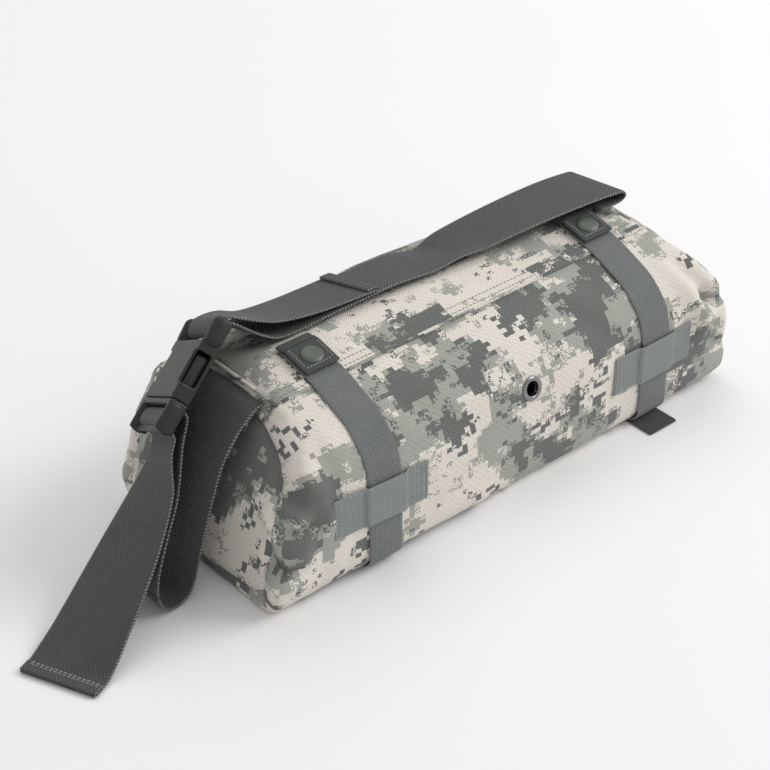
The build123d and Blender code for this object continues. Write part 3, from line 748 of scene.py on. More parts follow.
# Soft folds: points in millimetres, depth and half width.
FOLDS = [
    ([(-178, -36, 78), (-187, -58, 68), (-186, -74, 60), (-176, -83, 56), (-164, -86, 58)], 9.0, 4.6),
    ([(-178, -62, 84), (-170, -76, 72), (-166, -83, 55), (-163, -82, 30), (-160, -79, 12)], 2.2, 6.0),
    ([(-192, -62, 42), (-186, -78, 32), (-170, -84, 30)], 5.0, 4.5),
    ([(-150, -40, 108), (-152, -60, 94), (-148, -78, 78), (-142, -83, 60)], 1.5, 7.0),
    ([(150, -62, 92), (162, -72, 78), (174, -74, 62), (190, -66, 48)], 5.0, 6.0),
    ([(172, -36, 88), (180, -56, 74), (182, -70, 60)], 4.2, 6.0),
    ([(136, -74, 84), (146, -82, 66), (150, -84, 44)], 1.6, 7.0),
    ([(-92, -42, 106), (-80, -66, 94), (-58, -79, 78), (-30, -84, 62)], 1.3, 8.0),
    ([(40, -36, 109), (52, -58, 98), (74, -76, 82), (88, -83, 70)], 1.5, 8.0),
    ([(-60, -84, 30), (-20, -85, 24), (24, -85, 27), (60, -84, 20)], 1.1, 9.0),
    ([(-60, 70, 98), (-20, 74, 92), (30, 72, 94), (80, 66, 100)], 1.6, 8.0),
    ([(-120, 84, 70), (-60, 87, 56), (10, 88, 60), (90, 86, 52)], 1.4, 9.0),
    ([(-178, 30, 92), (-184, 50, 76), (-186, 66, 56)], 3.0, 7.0),
    ([(176, 20, 92), (184, 46, 74), (184, 66, 50)], 3.0, 7.0),
    ([(156, -75, 78), (163, -77, 72), (171, -78, 66)], 6.5, 5.0),
    ([(163, -77, 72), (176, -72, 64), (188, -60, 58)], 3.5, 4.0),
    ([(163, -77, 72), (154, -66, 88), (146, -52, 101)], 2.8, 4.5),
    ([(163, -77, 72), (168, -82, 50), (170, -84, 30)], 2.8, 4.5),
    ([(-70, 62, 98), (0, 64, 99), (60, 62, 99)], -5.0, 15.0),
    ([(-160, 40, 100), (-174, 52, 84), (-180, 60, 60)], -6.0, 18.0),
]


def rumple(co, out, grip):
    """Low uneven swells all over the free cloth."""
    lift = np.array([
        noise.noise(Vector(point) * 17.0) * 1.9
        + noise.noise(Vector((point[0] * 60, point[1] * 34, point[2] * 34))) * 0.55
        for point in co
    ])
    return co + out * (lift * (1 - grip) * MM)[:, None]


def strap_dents(co):
    """Lift the cloth of the front panel clear of the straps and locks beneath it."""
    x, y, z = co.T / MM
    off_strap = np.abs(np.abs(x) - STRAP_X)
    channel = 4.4 * (1 - smoothstep(14.0, 17.5, off_strap)) * (1 - smoothstep(-8, -4, y))
    pocket = 9.2 * (1 - smoothstep(17.0, 20.5, off_strap)) * smoothstep(-64, -60, y)
    pocket *= 1 - smoothstep(-11, -7, y)
    floor = np.maximum(channel, pocket)
    return np.column_stack([co[:, 0], co[:, 1], np.maximum(z, floor * (1 - smoothstep(10, 20, z))) * MM])


def end_line(side, tree, inset=15.0):
    """The seam between one end panel and the rest, found on the cloth."""
    middle = Vector((0, 55))
    corners = []
    for y, z in SECTION:
        outward = Vector((y, z)) - middle
        corners.append(middle + outward * (1 - inset / outward.length))
    line = []
    for before, corner, after in zip(corners[-1:] + corners, corners, corners[1:] + corners[:1]):
        for share in (0.25, 0.5, 0.75):
            rough = before.lerp(corner, 0.5) * (1 - share) ** 2 + corner * 2 * share * (1 - share)
            spot = rough + corner.lerp(after, 0.5) * share**2
            hit = tree.ray_cast(mm(side * 300, spot.x, max(spot.y, 1.5)), Vector((-side, 0, 0)))[0]
            line.append(hit)
    return [*line, line[0]]


def inside_loop(points, loop):
    """Which of the points lie inside a closed loop, in Y and Z."""
    odd = np.zeros(len(points), bool)
    for start, end in zip(loop, loop[1:]):
        crosses = (start.z > points[:, 2]) != (end.z > points[:, 2])
        if abs(end.z - start.z) < 1e-9:
            continue
        at = (end.y - start.y) * (points[:, 2] - start.z) / (end.z - start.z) + start.y
        odd ^= crosses & (points[:, 1] < at)
    return odd


def outline_place(y, z):
    """Distance round the pack's section to the nearest point, and how far inside it each lies."""
    best = np.full(len(y), 1e9)
    along, inward = np.zeros(len(y)), np.zeros(len(y))
    done = 0.0
    ring = [*SECTION, SECTION[0]]
    for (y_a, z_a), (y_b, z_b) in zip(ring, ring[1:]):
        span = math.hypot(y_b - y_a, z_b - z_a)
        share = np.clip(((y - y_a) * (y_b - y_a) + (z - z_a) * (z_b - z_a)) / span**2, 0, 1)
        gap = np.hypot(y - y_a - share * (y_b - y_a), z - z_a - share * (z_b - z_a))
        nearer = gap < best
        best = np.where(nearer, gap, best)
        along = np.where(nearer, done + share * span, along)
        side = (y_b - y_a) * (z - z_a) - (z_b - z_a) * (y - y_a)
        inward = np.where(nearer, np.where(side < 0, gap, 0), inward)
        done += span
    return along, inward


def arc_to(point):
    """Distance round the section to one of its corners."""
    index = SECTION.index(point)
    return sum(math.dist(a, b) for a, b in zip(SECTION[:index], SECTION[1:index + 1]))


# Each panel's node, and the shift of its print along and across.
PANELS = {
    "bottom_panel": (0.0, 0.0),
    "back_panel": (0.21, 0.13),
    "lid_surround": (0.45, 0.31),
    "front_panel": (0.08, 0.52),
    "end_panel_left": (0.63, 0.22),
    "end_panel_right": (0.77, 0.41),
    "lid_panel": (0.45, 0.31),
}
PRINT_SHIFT = list(PANELS.values())
UNDER_SHIFT = 0.7


def panel_numbers(centres, loops):
    """The panel that each face belongs to."""
    x, y, z = centres.T / MM
    arc, _ = outline_place(y, z)
    number = np.full(len(centres), 3)
    number[arc < arc_to(LID_FOOT)] = 2
    number[arc < arc_to(LID_EDGE)] = 1
    number[arc < arc_to(TOP_SEAM)] = 0
    number[arc < arc_to(SECTION[1]) * 0.5] = 3
    lid = (y > 66) & (np.abs(x) < LID_HALF) & (z > LID_LOW) & (z < LID_TOP)
    number[lid] = 6
    for index, side in ((4, -1), (5, 1)):
        number[(side * x > 130) & inside_loop(centres, loops[side])] = index
    return number


def cut_lines(bm):
    """Cut edges into the cloth along the straight panel joins."""
    def cut(spot, normal, is_near):
        near = [face for face in bm.faces if is_near(face.calc_center_median())]
        parts = {part for face in near for part in (face, *face.edges, *face.verts)}
        bmesh.ops.bisect_plane(bm, geom=list(parts), plane_co=spot, plane_no=normal, dist=1e-5)

    for (y, z), normal in (
        (TOP_SEAM, (0, 1, 0.43)), (LID_EDGE, (0, 0.7, -0.7)), (LID_FOOT, (0, 0, 1)),
        ((-76.0, 5.2), (0, -0.6, 0.8)),
    ):
        spot = mm(0, y, z)
        cut(spot, normal, lambda middle: (middle.yz - spot.yz).length < 14 * MM)
    for spot, normal in (
        (mm(-LID_HALF, 0, 0), (1, 0, 0)), (mm(LID_HALF, 0, 0), (1, 0, 0)),
        (mm(0, 0, LID_LOW), (0, 0, 1)), (mm(0, 0, LID_TOP), (0, 0, 1)),
    ):
        cut(spot, normal, lambda middle: middle.y > 60 * MM and abs(middle.x) < (LID_HALF + 8) * MM)


def snap_to_loop(bm, numbers, loop):
    """Draw the ragged edge between two panels onto their seam."""
    line = [np.array(point) for point in loop]
    rim = [
        vertex for vertex in bm.verts
        if len({int(numbers[face.index]) for face in vertex.link_faces} & {4, 5}) == 1
        and len({int(numbers[face.index]) for face in vertex.link_faces}) > 1
    ]
    for vertex in rim:
        spot = np.array(vertex.co)
        best, nearest = 1e9, spot
        for start, end in zip(line, line[1:]):
            way = end - start
            share = min(1, max(0, (spot - start) @ way / (way @ way)))
            point = start + way * share
            if np.linalg.norm(spot - point) < best:
                best, nearest = np.linalg.norm(spot - point), point
        if best < 3.5 * MM:
            vertex.co = nearest


def cloth_body(settings):
    """The swollen, creased pack as one closed skin, and the seams at its ends."""
    body = add_object("pack_skin", pack_form(), ["camo"])
    add_modifier(body, "REMESH", mode="VOXEL", voxel_size=4.6 * MM)
    bake_modifiers(body)
    bm = bmesh.new()
    bm.from_mesh(body.data)
    loose = [vertex for vertex in bm.verts if vertex.co.z > 2 * MM]
    for _ in range(2):
        bmesh.ops.smooth_vert(bm, verts=loose, factor=0.5, use_axis_x=True, use_axis_y=True, use_axis_z=True)
    bm.to_mesh(body.data)
    bm.free()
    inflate(body, settings.bulge)
    add_modifier(body, "SUBSURF", levels=1, render_levels=1)
    bake_modifiers(body)
    mesh = body.data
    co, out = places(mesh), directions(mesh)
    rest = mesh.attributes.new("rest", "FLOAT_VECTOR", "POINT")
    rest.data.foreach_set("vector", co.astype(np.float32).ravel())
    grip = held(co)
    co = rumple(co, out, grip)
    for line, depth, width in FOLDS:
        co = crease(co, out, line, depth, width)
    put(mesh, co)
    tree = BVHTree.FromObject(body, bpy.context.evaluated_depsgraph_get())
    loops = {side: end_line(side, tree) for side in SIDES.values()}
    for loop in loops.values():
        line = [tuple(point / MM) for point in loop]
        co = crease(co, directions(mesh), line, 1.6, 3.0, taper=False)
        put(mesh, co)
    seam = [(-150, *TOP_SEAM), (150, *TOP_SEAM)]
    co = crease(co, directions(mesh), [(x, y - 3, z - 1.2) for x, y, z in seam], 0.8, 2.2, taper=False)
    co = strap_dents(co)
    co[:, 2] = np.maximum(co[:, 2], 0.35 * MM)
    put(mesh, co)
    return body, loops


def lay_print(bm, numbers):
    """Give each panel its print and weave, square to the panel as it lay before it creased."""
    layer = bm.loops.layers.uv.new("cloth")
    rest = bm.verts.layers.float_vector["rest"]
    co = np.array([vertex[rest] for vertex in bm.verts])
    arc, inward = outline_place(co[:, 1] / MM, co[:, 2] / MM)
    arc, wide = arc * MM, co[:, 0] + np.sign(co[:, 0]) * inward * 1.1 * MM
    for face in bm.faces:
        number = numbers[face.index]
        shift_u, shift_v = PRINT_SHIFT[number]
        under = face.calc_center_median().z < 6 * MM
        for loop in face.loops:
            _, y, z = co[loop.vert.index]
            if number in (4, 5):
                place = (y, z)
            else:
                place = (wide[loop.vert.index], UNDER_SHIFT - y if under else arc[loop.vert.index])
            loop[layer].uv = (place[0] + shift_u, place[1] + shift_v)


def split_panels(body, loops, settings):
    """Cut the skin into its sewn panels and give each its thickness and lining."""
    bm = bmesh.new()
    bm.from_mesh(body.data)
    cut_lines(bm)
    bm.faces.ensure_lookup_table()
    bm.faces.index_update()
    bm.verts.index_update()
    centres = np.array([face.calc_center_median() for face in bm.faces])
    numbers = panel_numbers(centres, loops)
    for loop in loops.values():
        snap_to_loop(bm, numbers, loop)
    lay_print(bm, numbers)
    eyelet = mm(EYELET_X, -78.9, EYELET_Z)
    panels = {}
    for number, node in enumerate(PANELS):
        part = bm.copy()
        part.faces.ensure_lookup_table()
        gone = [face for face, own in zip(part.faces, numbers) if own != number]
        bmesh.ops.delete(part, geom=gone, context="FACES")
        if node == "bottom_panel":
            hole = [face for face in part.faces if (face.calc_center_median() - eyelet).length < 5.5 * MM]
            bmesh.ops.delete(part, geom=hole, context="FACES")
        piece = add_object(f"cloth_{node}", part, ["camo", "lining"])
        add_modifier(piece, "SOLIDIFY", thickness=settings.thickness, offset=-1.0, material_offset=1)
        bake_modifiers(piece)
        panels[node] = piece
    bm.free()
    return panels


BODY = {}


def on_cloth(point, lift):
    """The nearest point of the cloth, lifted off it."""
    spot, out, _, _ = BODY["tree"].find_nearest(point)
    return spot + out * lift


class PACK_OT_cloth_body(bpy.types.Operator):
    """Build the camouflage panels of the pack"""

    bl_idname = "pack.cloth_body"
    bl_label = "Cloth panels"

    def execute(self, context):
        settings = context.scene.pack_cloth
        body, loops = cloth_body(settings)
        BODY["tree"] = BVHTree.FromObject(body, context.evaluated_depsgraph_get())
        BODY["loops"] = loops
        panels = split_panels(body, loops, settings)
        bpy.data.objects.remove(body)
        hinge_y, fold = LID_Y * MM, 84.8 * MM
        for node, piece in panels.items():
            lid = ("root", "lid", (0, hinge_y, fold), (0, hinge_y, 79.5 * MM))
            settle(piece, [node], blend=lid if node == "lid_panel" else None)
        return {"FINISHED"}


class PACK_OT_seams(bpy.types.Operator):
    """Build the piping, the rolled end seams and their stitches"""

    bl_idname = "pack.seams"
    bl_label = "Seams"

    def execute(self, context):
        roll = 1.15 * MM
        spans = {"left": (-149, -128), "middle": (-100, 100), "right": (128, 149)}
        for part, (start, stop) in spans.items():
            count = max(3, round((stop - start) / 4))
            line = [
                on_cloth(
                    mm(start + (stop - start) * index / count, TOP_SEAM[0] - 1.0, TOP_SEAM[1] + 1), 0.2 * MM
                )
                for index in range(count + 1)
            ]
            seam_roll(f"seam_fold_{part}", line, roll, ["seam_piping"] if part == "middle" else [])
        for name, side in SIDES.items():
            loop = [point for point in BODY["loops"][side] if point.z > 0.004]
            breaks = [index for index, (a, b) in enumerate(zip(loop, loop[1:])) if (a - b).length > 0.04]
            split = (breaks or [len(loop) - 1])[0]
            loop = loop[split + 1:] + loop[:split + 1]
            seam_roll(f"end_seam_{name}", [on_cloth(point, -0.1 * MM) for point in loop], 1.0 * MM)
        for name, side in SIDES.items():
            line = [
                BODY["tree"].ray_cast(mm(side * 151.5, y, 300), Vector((0, 0, -1)))[0]
                for y in np.linspace(-30, 34, 9)
            ]
            route = [centre for centre, _ in smooth_route([(point, (1, 0, 0)) for point in line], 2 * MM)]
            seam_roll(f"side_fold_{name}", route, roll)
        rows = []
        for down in (2.6, 7.4):
            for start, stop in spans.values():
                rows.append([
                    on_cloth(mm(x, TOP_SEAM[0] + down, TOP_SEAM[1] + 2.5), 0.12 * MM)
                    for x in np.linspace(start, stop, 24)
                ])
        stitches("top_seam_stitches", rows, "grey_thread")
        return {"FINISHED"}


# ---- straps and webbing ---------------------------------------------------------------

TAB_UNDER = 3.2
TAB_OVER = 5.4
CLIMB = math.atan2(RIDGE[1] - TOP_SEAM[1], RIDGE[0] - TOP_SEAM[0])
ALONG_SLOPE = Vector((0, math.cos(CLIMB), math.sin(CLIMB)))
OFF_SLOPE = Vector((0, -math.sin(CLIMB), math.cos(CLIMB)))


def on_slope(x, down, rise):
    """A point of the back panel's slope, a distance down from its ridge."""
    return mm(x, *RIDGE) - ALONG_SLOPE * down * MM + OFF_SLOPE * rise * MM


class PACK_OT_straps(bpy.types.Operator):
    """Build the compression straps with their tails, anchors, keepers and locks"""

    bl_idname = "pack.straps"
    bl_label = "Compression straps"

    def execute(self, context):
        width = context.scene.pack_webbing.strap_width
        strap_yz = [
            (-1.3, 117.4), (-30.6, 111.1), (-61.4, 97.8), (-76.1, 82.6), (-81.25, 64.2), (-81.25, 27.9),
            (-81.6, 8.5), (-75.0, 2.2), (-55.0, 2.6), (-49.0, 6.9), (-45.0, 6.9),
        ]
        anchor_yz = [(-11, 6.4), (-36.0, 6.4), (-36.0, 1.4), (-11, 1.4)]
        for name, side in SIDES.items():
            x = side * STRAP_X
            reach = -65.25 if side < 0 else -94.25
            tail_yz = [(-45, 6.9), (-40.2, 6.9), (-40.2, 0.95), (reach, 0.95)]
            # The strap tails take the darker tab webbing: partly painted shade, as they lie in shade, and
            # partly a darker colour of their own.
            for part, places_yz, radius, finish in (
                ("compression_strap", strap_yz, 7, "strap"), ("strap_tail", tail_yz, 3, "tab"),
                ("lock_anchor", anchor_yz, 2.4, "strap"),
            ):
                node = f"{part}_{name}"
                route = rounded_route([mm(x, y, z) for y, z in places_yz], radius * MM, Vector((1, 0, 0)))
                webbing(f"{node}_webbing", route, width, 1.4 * MM, finish, "strap_webbing", [node])
            softened(f"ladder_lock_{name}", "plastic", 0.7 * MM)
            self.keeper(name, x, width)
        return {"FINISHED"}

    def keeper(self, name, x, width):
        """A short length sewn down at both ends, over its strap."""
        low, high = -81.05, -83.05
        bridge, level_z = 14.2, 50
        ends, lean = ((-40.0, 33.0), 0.06) if name == "left" else ((-37.5, 33.0), 0.0)
        points = [
            mm(x + dx, y, level_z + (ends[1] - dx) * lean) for dx, y in (
                (ends[0], low), (-bridge - 2.2, low), (-bridge, high), (bridge, high), (bridge + 2.2, low),
                (ends[1], low),
            )
        ]
        node = f"strap_keeper_{name}"
        route = rounded_route(points, 2 * MM, Vector((0, 0, 1)))
        webbing(f"{node}_webbing", route, width * 1.12, 1.4 * MM, "keeper", "keeper_webbing", [node])
        rows = []
        for end, way in zip(ends, (1, -1)):
            for inset in (1.8, 5.0):
                at = x + end + way * inset
                level = level_z + (ends[1] - end) * lean
                rows.append([mm(at, low - 0.85, level + half) for half in (-12.8, 12.8)])
        stitches(f"keeper_stitches_{name}", rows, "pale_thread", 2.2, 1.7)


class PACK_OT_snap_tabs(bpy.types.Operator):
    """Build the folded snap tabs with their caps, sockets, studs and sewn roots"""

    bl_idname = "pack.snap_tabs"
    bl_label = "Snap tabs"

    def execute(self, context):
        width = context.scene.pack_webbing.strap_width
        # Distances down the slope from the ridge.
        snap_down, root, end = 16.0, 4.6, 26.4
        layer = 1.15
        turn = Matrix.Rotation(CLIMB, 4, "X")
        dome = [
            (0, 2.0), (2.5, 1.95), (4.8, 1.7), (6.3, 1.25), (7.2, 0.6), (7.5, 0.1), (7.3, -0.15), (6.4, -0.1),
        ]
        ring = [
            (6.4, 0.9), (6.5, 0.5), (6.0, 0.05), (3.6, 0.0), (2.9, 0.5), (2.9, 1.9), (6.0, 1.9), (6.4, 0.9),
        ]
        knob = [(6.0, 0.0), (5.9, 0.45), (3.0, 0.7), (2.1, 0.8), (2.35, 1.6), (2.1, 2.0), (0, 2.1)]
        high, low = TAB_OVER - layer / 2, TAB_UNDER + layer / 2
        middle = (TAB_UNDER + TAB_OVER) / 2
        edge = width / MM / 2 - 2.6
        sewn = [(-edge, root + 1.4), (-edge, end - 2.8), (edge, end - 2.8), (edge, root + 1.4)]
        for name, side in SIDES.items():
            x = side * STRAP_X
            body = f"tab_{name}"
            folded = [(root, high), (end, high), (end, low), (root, low)]
            self.strip(f"snap_tab_{name}", x, folded, 0.6, layer, body)
            rows = [
                [on_slope(x + dx, down, TAB_OVER + 0.1) for dx, down in pair]
                for pair in zip(sewn, sewn[1:])
            ]
            stitches(f"tab_stitches_{name}", rows, "pale_thread", 2.3, 1.8, 0.26, body)
            for part, shape, profile, rise, finish, own in (
                ("cap", "dome", dome, TAB_OVER, "cap", body), ("socket", "ring", ring, 2.5, "steel", body),
                ("stud", "knob", knob, 1.7, "steel", "root"),
            ):
                node = f"snap_{part}_{name}"
                seat = Matrix.Translation(on_slope(x, snap_down, rise)) @ turn
                turned(f"{node}_{shape}", profile, seat, finish, [node], own)
            foot = [(-3.0, 1.2), (2.3, 2.6), (root - 0.4, middle)]
            self.strip(f"tab_root_{name}", x, foot, 2, 2.2, "root")
        return {"FINISHED"}

    def strip(self, node, x, spots, radius, thick, body):
        """A strip through spots given as distances down the slope and off it."""
        width = bpy.context.scene.pack_webbing.strap_width
        points = [on_slope(x, down, rise) for down, rise in spots]
        route = rounded_route(points, radius * MM, Vector((-1, 0, 0)))
        webbing(f"{node}_webbing", route, width, thick * MM, "tab", "tab_webbing", [node], body)


# The buckle's own axes: out of its upper face, across its webbing and along the pull.
FACE = Vector((-0.593, 0.550, 0.588)).normalized()
ACROSS = FACE.cross(Vector((0.772, 0.186, 0.607))).normalized()
ALONG = ACROSS.cross(FACE)
BUCKLE = Matrix.Translation(mm(-180.3, 25.0, 111.6)) @ Matrix((ALONG, ACROSS, FACE)).transposed().to_4x4()


def in_buckle(x, y, z):
    """A point given in millimetres in the buckle's own axes."""
    return BUCKLE @ mm(x, y, z)


def top_station(x, behind, rise, tilt):
    """A station of the belt's run over the back panel, tilted about X."""
    turn = math.radians(tilt)
    return mm(x, RIDGE[0] + behind, RIDGE[1] + rise), Vector((0, math.cos(turn), math.sin(turn)))


def belting(name, route, nodes, share=1.0, thick=1.6, **riding):
    """A strip of the belt's webbing, as wide as a share of the belt."""
    width = bpy.context.scene.pack_webbing.belt_width * share
    webbing(name, route, width, thick * MM, "belt", "belt_webbing", nodes, across=12, **riding)


class PACK_OT_belt(bpy.types.Operator):
    """Build the belt's right half: the run, the loop at the buckle and the sewn layer"""

    bl_idname = "pack.belt"
    bl_label = "Belt"

    def execute(self, context):
        width = context.scene.pack_webbing.belt_width
        top = [top_station(*place) for place in (
            (-129, 32.0, 2.0, -15), (-112, 32.5, -4.2, -13), (-70, 32.0, -4.0, -15), (-30, 30.25, -2.5, -15),
            (0, 27.25, -2.2, -13), (22, 25.5, -2.6, -19), (40, 23.25, 1.0, -12), (80, 18.25, 6.5, -9),
            (120, 14.25, 9.0, -7), (148, 12.25, 8.0, -7),
        )]
        layer = [top_station(*place) for place in (
            (-43, 30.9, -0.8, -15.0), (-51, 31.2, -0.9, -15.4), (-84, 33.0, -0.7, -17),
            (-112, 34.0, 2.6, -19), (-129, 34.0, 9.5, -19),
        )]
        loop = [
            (in_buckle(x, 0, z), ACROSS) for x, z in ((38, 3.3), (31, 3.5), (26.9, 0), (31, -3.5), (38, -3.3))
        ]
        turn = [
            (mm(x, 14, z), top[-1][1])
            for x, z in ((152.0, 123.6), (153.6, 121.4), (151.8, 119.0), (147, 117.8), (131, 118.0))
        ]
        nodes = ["belt_run", "belt_layer", "belt_loop", "belt_turn", "belt_anchor_right"]
        belting("belt_webbing", smooth_route([*layer, *loop, *top, *turn], 2.2 * MM), nodes)
        side = top[3][1]
        up = Vector((1, 0, 0)).cross(side)
        start, end = top_station(-51, 31.2, -0.9, -16)[0], top_station(-42.6, 30.9, -0.8, -16)[0]
        points = [start + up * 1.9 * MM, end + up * 1.9 * MM, end + up * 0.2 * MM, start + up * 0.6 * MM]
        belting("belt_hem_fold", rounded_route(points, 1.2 * MM, side), ["belt_hem"], 0.98, 1.5)
        rows = [
            [point + side * (width / 2 - 3 * MM) * end + up * 2.75 * MM for end in (-1, 1)]
            for point in (start.lerp(end, 0.3), start.lerp(end, 0.6))
        ]
        stitches("belt_hem_stitches", rows, "grey_thread")
        return {"FINISHED"}


class PACK_OT_loose_webbing(bpy.types.Operator):
    """Build the belt's left half, which hangs, turns and lies loose beside the pack"""

    bl_idname = "pack.loose_webbing"
    bl_label = "Loose webbing"

    def execute(self, context):
        width = context.scene.pack_webbing.belt_width
        straight = (0, 1, 0)
        fall = [(mm(*place), straight) for place in (
            (-136, 6, 103.5), (-150, 6, 104.0), (-166, 4, 100.0), (-187, 1, 80), (-206, -3, 40),
            (-214, -4, 16), (-220, -5, 5.5), (-230, -6, 1.6), (-239, -7, 5.0), (-243, -7, 16),
        )]
        rise = [
            (mm(-241, -7, 30), (0, 1, -0.1)), (mm(-228, -2, 43), (0.05, 0.95, -0.3)),
            (mm(-214, 5, 53), (0.1, 0.9, -0.4)), (mm(-204, 10, 67), (0.17, 0.86, -0.48)),
            (mm(-198, 12.0, 79), ACROSS), (in_buckle(-20.6, 0, -9.5), ACROSS),
            (in_buckle(-19.8, 0, -4.2), ACROSS),
        ]
        tail = [
            (in_buckle(-33.2, 0, -4.2), ACROSS), (in_buckle(-34.6, 0, -9.0), ACROSS),
            (mm(-206.5, 11.0, 77), ACROSS), (mm(-211, 8.5, 69), (0.17, 0.86, -0.48)),
            (mm(-221, 3, 57.5), (0.0, 0.9, -0.4)), (mm(-250, -11, 37), (-0.2, 0.93, -0.25)),
            (mm(-285, -26, 14), (-0.33, 0.93, -0.1)), (mm(-303, -33.5, 4.0), (-0.4, 0.91, 0)),
            (mm(-311, -36.7, 1.7), (-0.41, 0.91, 0)), (mm(-319, -40, 1.5), (-0.41, 0.91, 0)),
        ]
        whole = smooth_route([*fall, *rise], 2.4 * MM)
        split = min(range(len(whole)), key=lambda index: (whole[index][0] - fall[-1][0]).length)
        belting("belt_fall_webbing", whole[:split + 1], ["belt_fall", "belt_bight"])
        reach = ("root", "buckle_male", mm(-241, -7, 24), mm(-200, 12, 76))
        belting("belt_rise_webbing", whole[split:], ["belt_rise"], blend=reach)
        reach = ("root", "buckle_male", mm(-255, -13, 34), mm(-206, 11, 78))
        belting("belt_tail_webbing", smooth_route(tail, 2.4 * MM), ["belt_tail"], blend=reach)
        end, side = tail[-1][0], Vector(tail[-1][1]).normalized()
        onward = (tail[-1][0] - tail[-2][0]).normalized()
        above = Vector((0, 0, 1.6 * MM))
        route = [(end - onward * 9 * MM * (1 - part / 6) + above, side) for part in range(7)]
        belting("tail_hem_fold", route, ["tail_hem"], 0.985, 1.3)
        half, above = width / 2 - 2 * MM, Vector((0, 0, 2.35 * MM))
        rows = [
            [end - onward * back * MM + side * half * way + above for way in (-1, 1)] for back in (6.0, 7.6)
        ]
        stitches("tail_hem_stitches", rows)
        points = [in_buckle(x, 0, z) for x, z in ((-33.4, -5), (-31.6, 2.7), (-21.4, 2.7), (-19.8, -5))]
        route = rounded_route(points, 4.5 * MM, ACROSS)
        belting("ladder_wrap_webbing", route, ["ladder_wrap"], body="buckle_male")
        return {"FINISHED"}


def moulded_form(node, body):
    """A CAD node's shape with every edge rounded, as plastic leaves its mould."""
    piece = softened(node, "plastic", 0.2 * MM, 1, body)
    add_modifier(piece, "REMESH", mode="VOXEL", voxel_size=0.75 * MM)
    add_modifier(piece, "SMOOTH", factor=0.5, iterations=7)
    bake_modifiers(piece)
    for polygon in piece.data.polygons:
        polygon.use_smooth = True
    piece.data.materials.clear()
    piece.data.materials.append(MATERIALS["plastic"])
    return piece


def rounded_bar(name, start, end, radius, squash, body, taper):
    """A round-ended bar between two points given in the buckle's axes."""
    reach = (end - start).length
    profile = [(radius * math.sin(turn), -radius * math.cos(turn)) for turn in np.linspace(0, math.pi / 2, 7)]
    profile += [
        (radius * taper * math.cos(turn), reach + radius * taper * math.sin(turn))
        for turn in np.linspace(0, math.pi / 2, 7)
    ]
    turn = towards(end - start)
    flat = Matrix.Diagonal((1, 1, squash, 1))
    place = BUCKLE @ Matrix.Translation(start * MM) @ flat @ turn
    return turned(name, profile, place, "plastic", body=body, steps=24)


class PACK_OT_buckle(bpy.types.Operator):
    """Build the side-release buckle's two halves and its prongs"""

    bl_idname = "pack.buckle"
    bl_label = "Buckle"

    def execute(self, context):
        moulded_form("buckle_female", "root")
        moulded_form("buckle_male", "buckle_male")
        for name, way in (("near", -1), ("far", 1)):
            moulded_form(f"buckle_prong_{name}", f"prong_{name}")
            for part, start, end, radius, squash, body, taper in (
                ("torpedo", (-9.0, 26.3, 0), (11.0, 26.0, 0), 3.3, 0.95, f"prong_{name}", 0.8),
                ("shoulder", (34.0, 29.4, 0.4), (24.5, 29.9, 0.4), 5.0, 1.2, "root", 0.9),
                ("rail", (-33.2, 28.6, 0.2), (-20.6, 28.6, 0.2), 3.9, 1.45, "buckle_male", 0.95),
            ):
                start, end = (Vector((x, way * y, z)) for x, y, z in (start, end))
                rounded_bar(f"buckle_{part}_{name}", start, end, radius, squash, body, taper)
        return {"FINISHED"}


class PACK_OT_eyelet(bpy.types.Operator):
    """Build the drain eyelet and its washer"""

    bl_idname = "pack.eyelet"
    bl_label = "Drain eyelet"

    def execute(self, context):
        lean = math.atan2(5.0, 18.0)
        out = Vector((0, -math.cos(lean), math.sin(lean)))
        place = Matrix.Translation(mm(EYELET_X, -77.75, EYELET_Z)) @ towards(out)
        ring = [
            (4.75, -2.0), (4.75, 0.3), (4.95, 0.8), (5.5, 1.15), (6.3, 1.25), (7.1, 1.0), (7.8, 0.5),
            (8.0, 0.05), (7.6, -0.1), (5.55, -0.1), (5.55, -2.0), (4.75, -2.0),
        ]
        turned("drain_eyelet_ring", ring, place, "steel", ["drain_eyelet"], steps=56)
        washer = [(4.8, -2.7), (7.5, -2.7), (7.5, -2.05), (4.8, -2.05), (4.8, -2.7)]
        turned("eyelet_washer_ring", washer, place, "steel", ["eyelet_washer"])
        return {"FINISHED"}


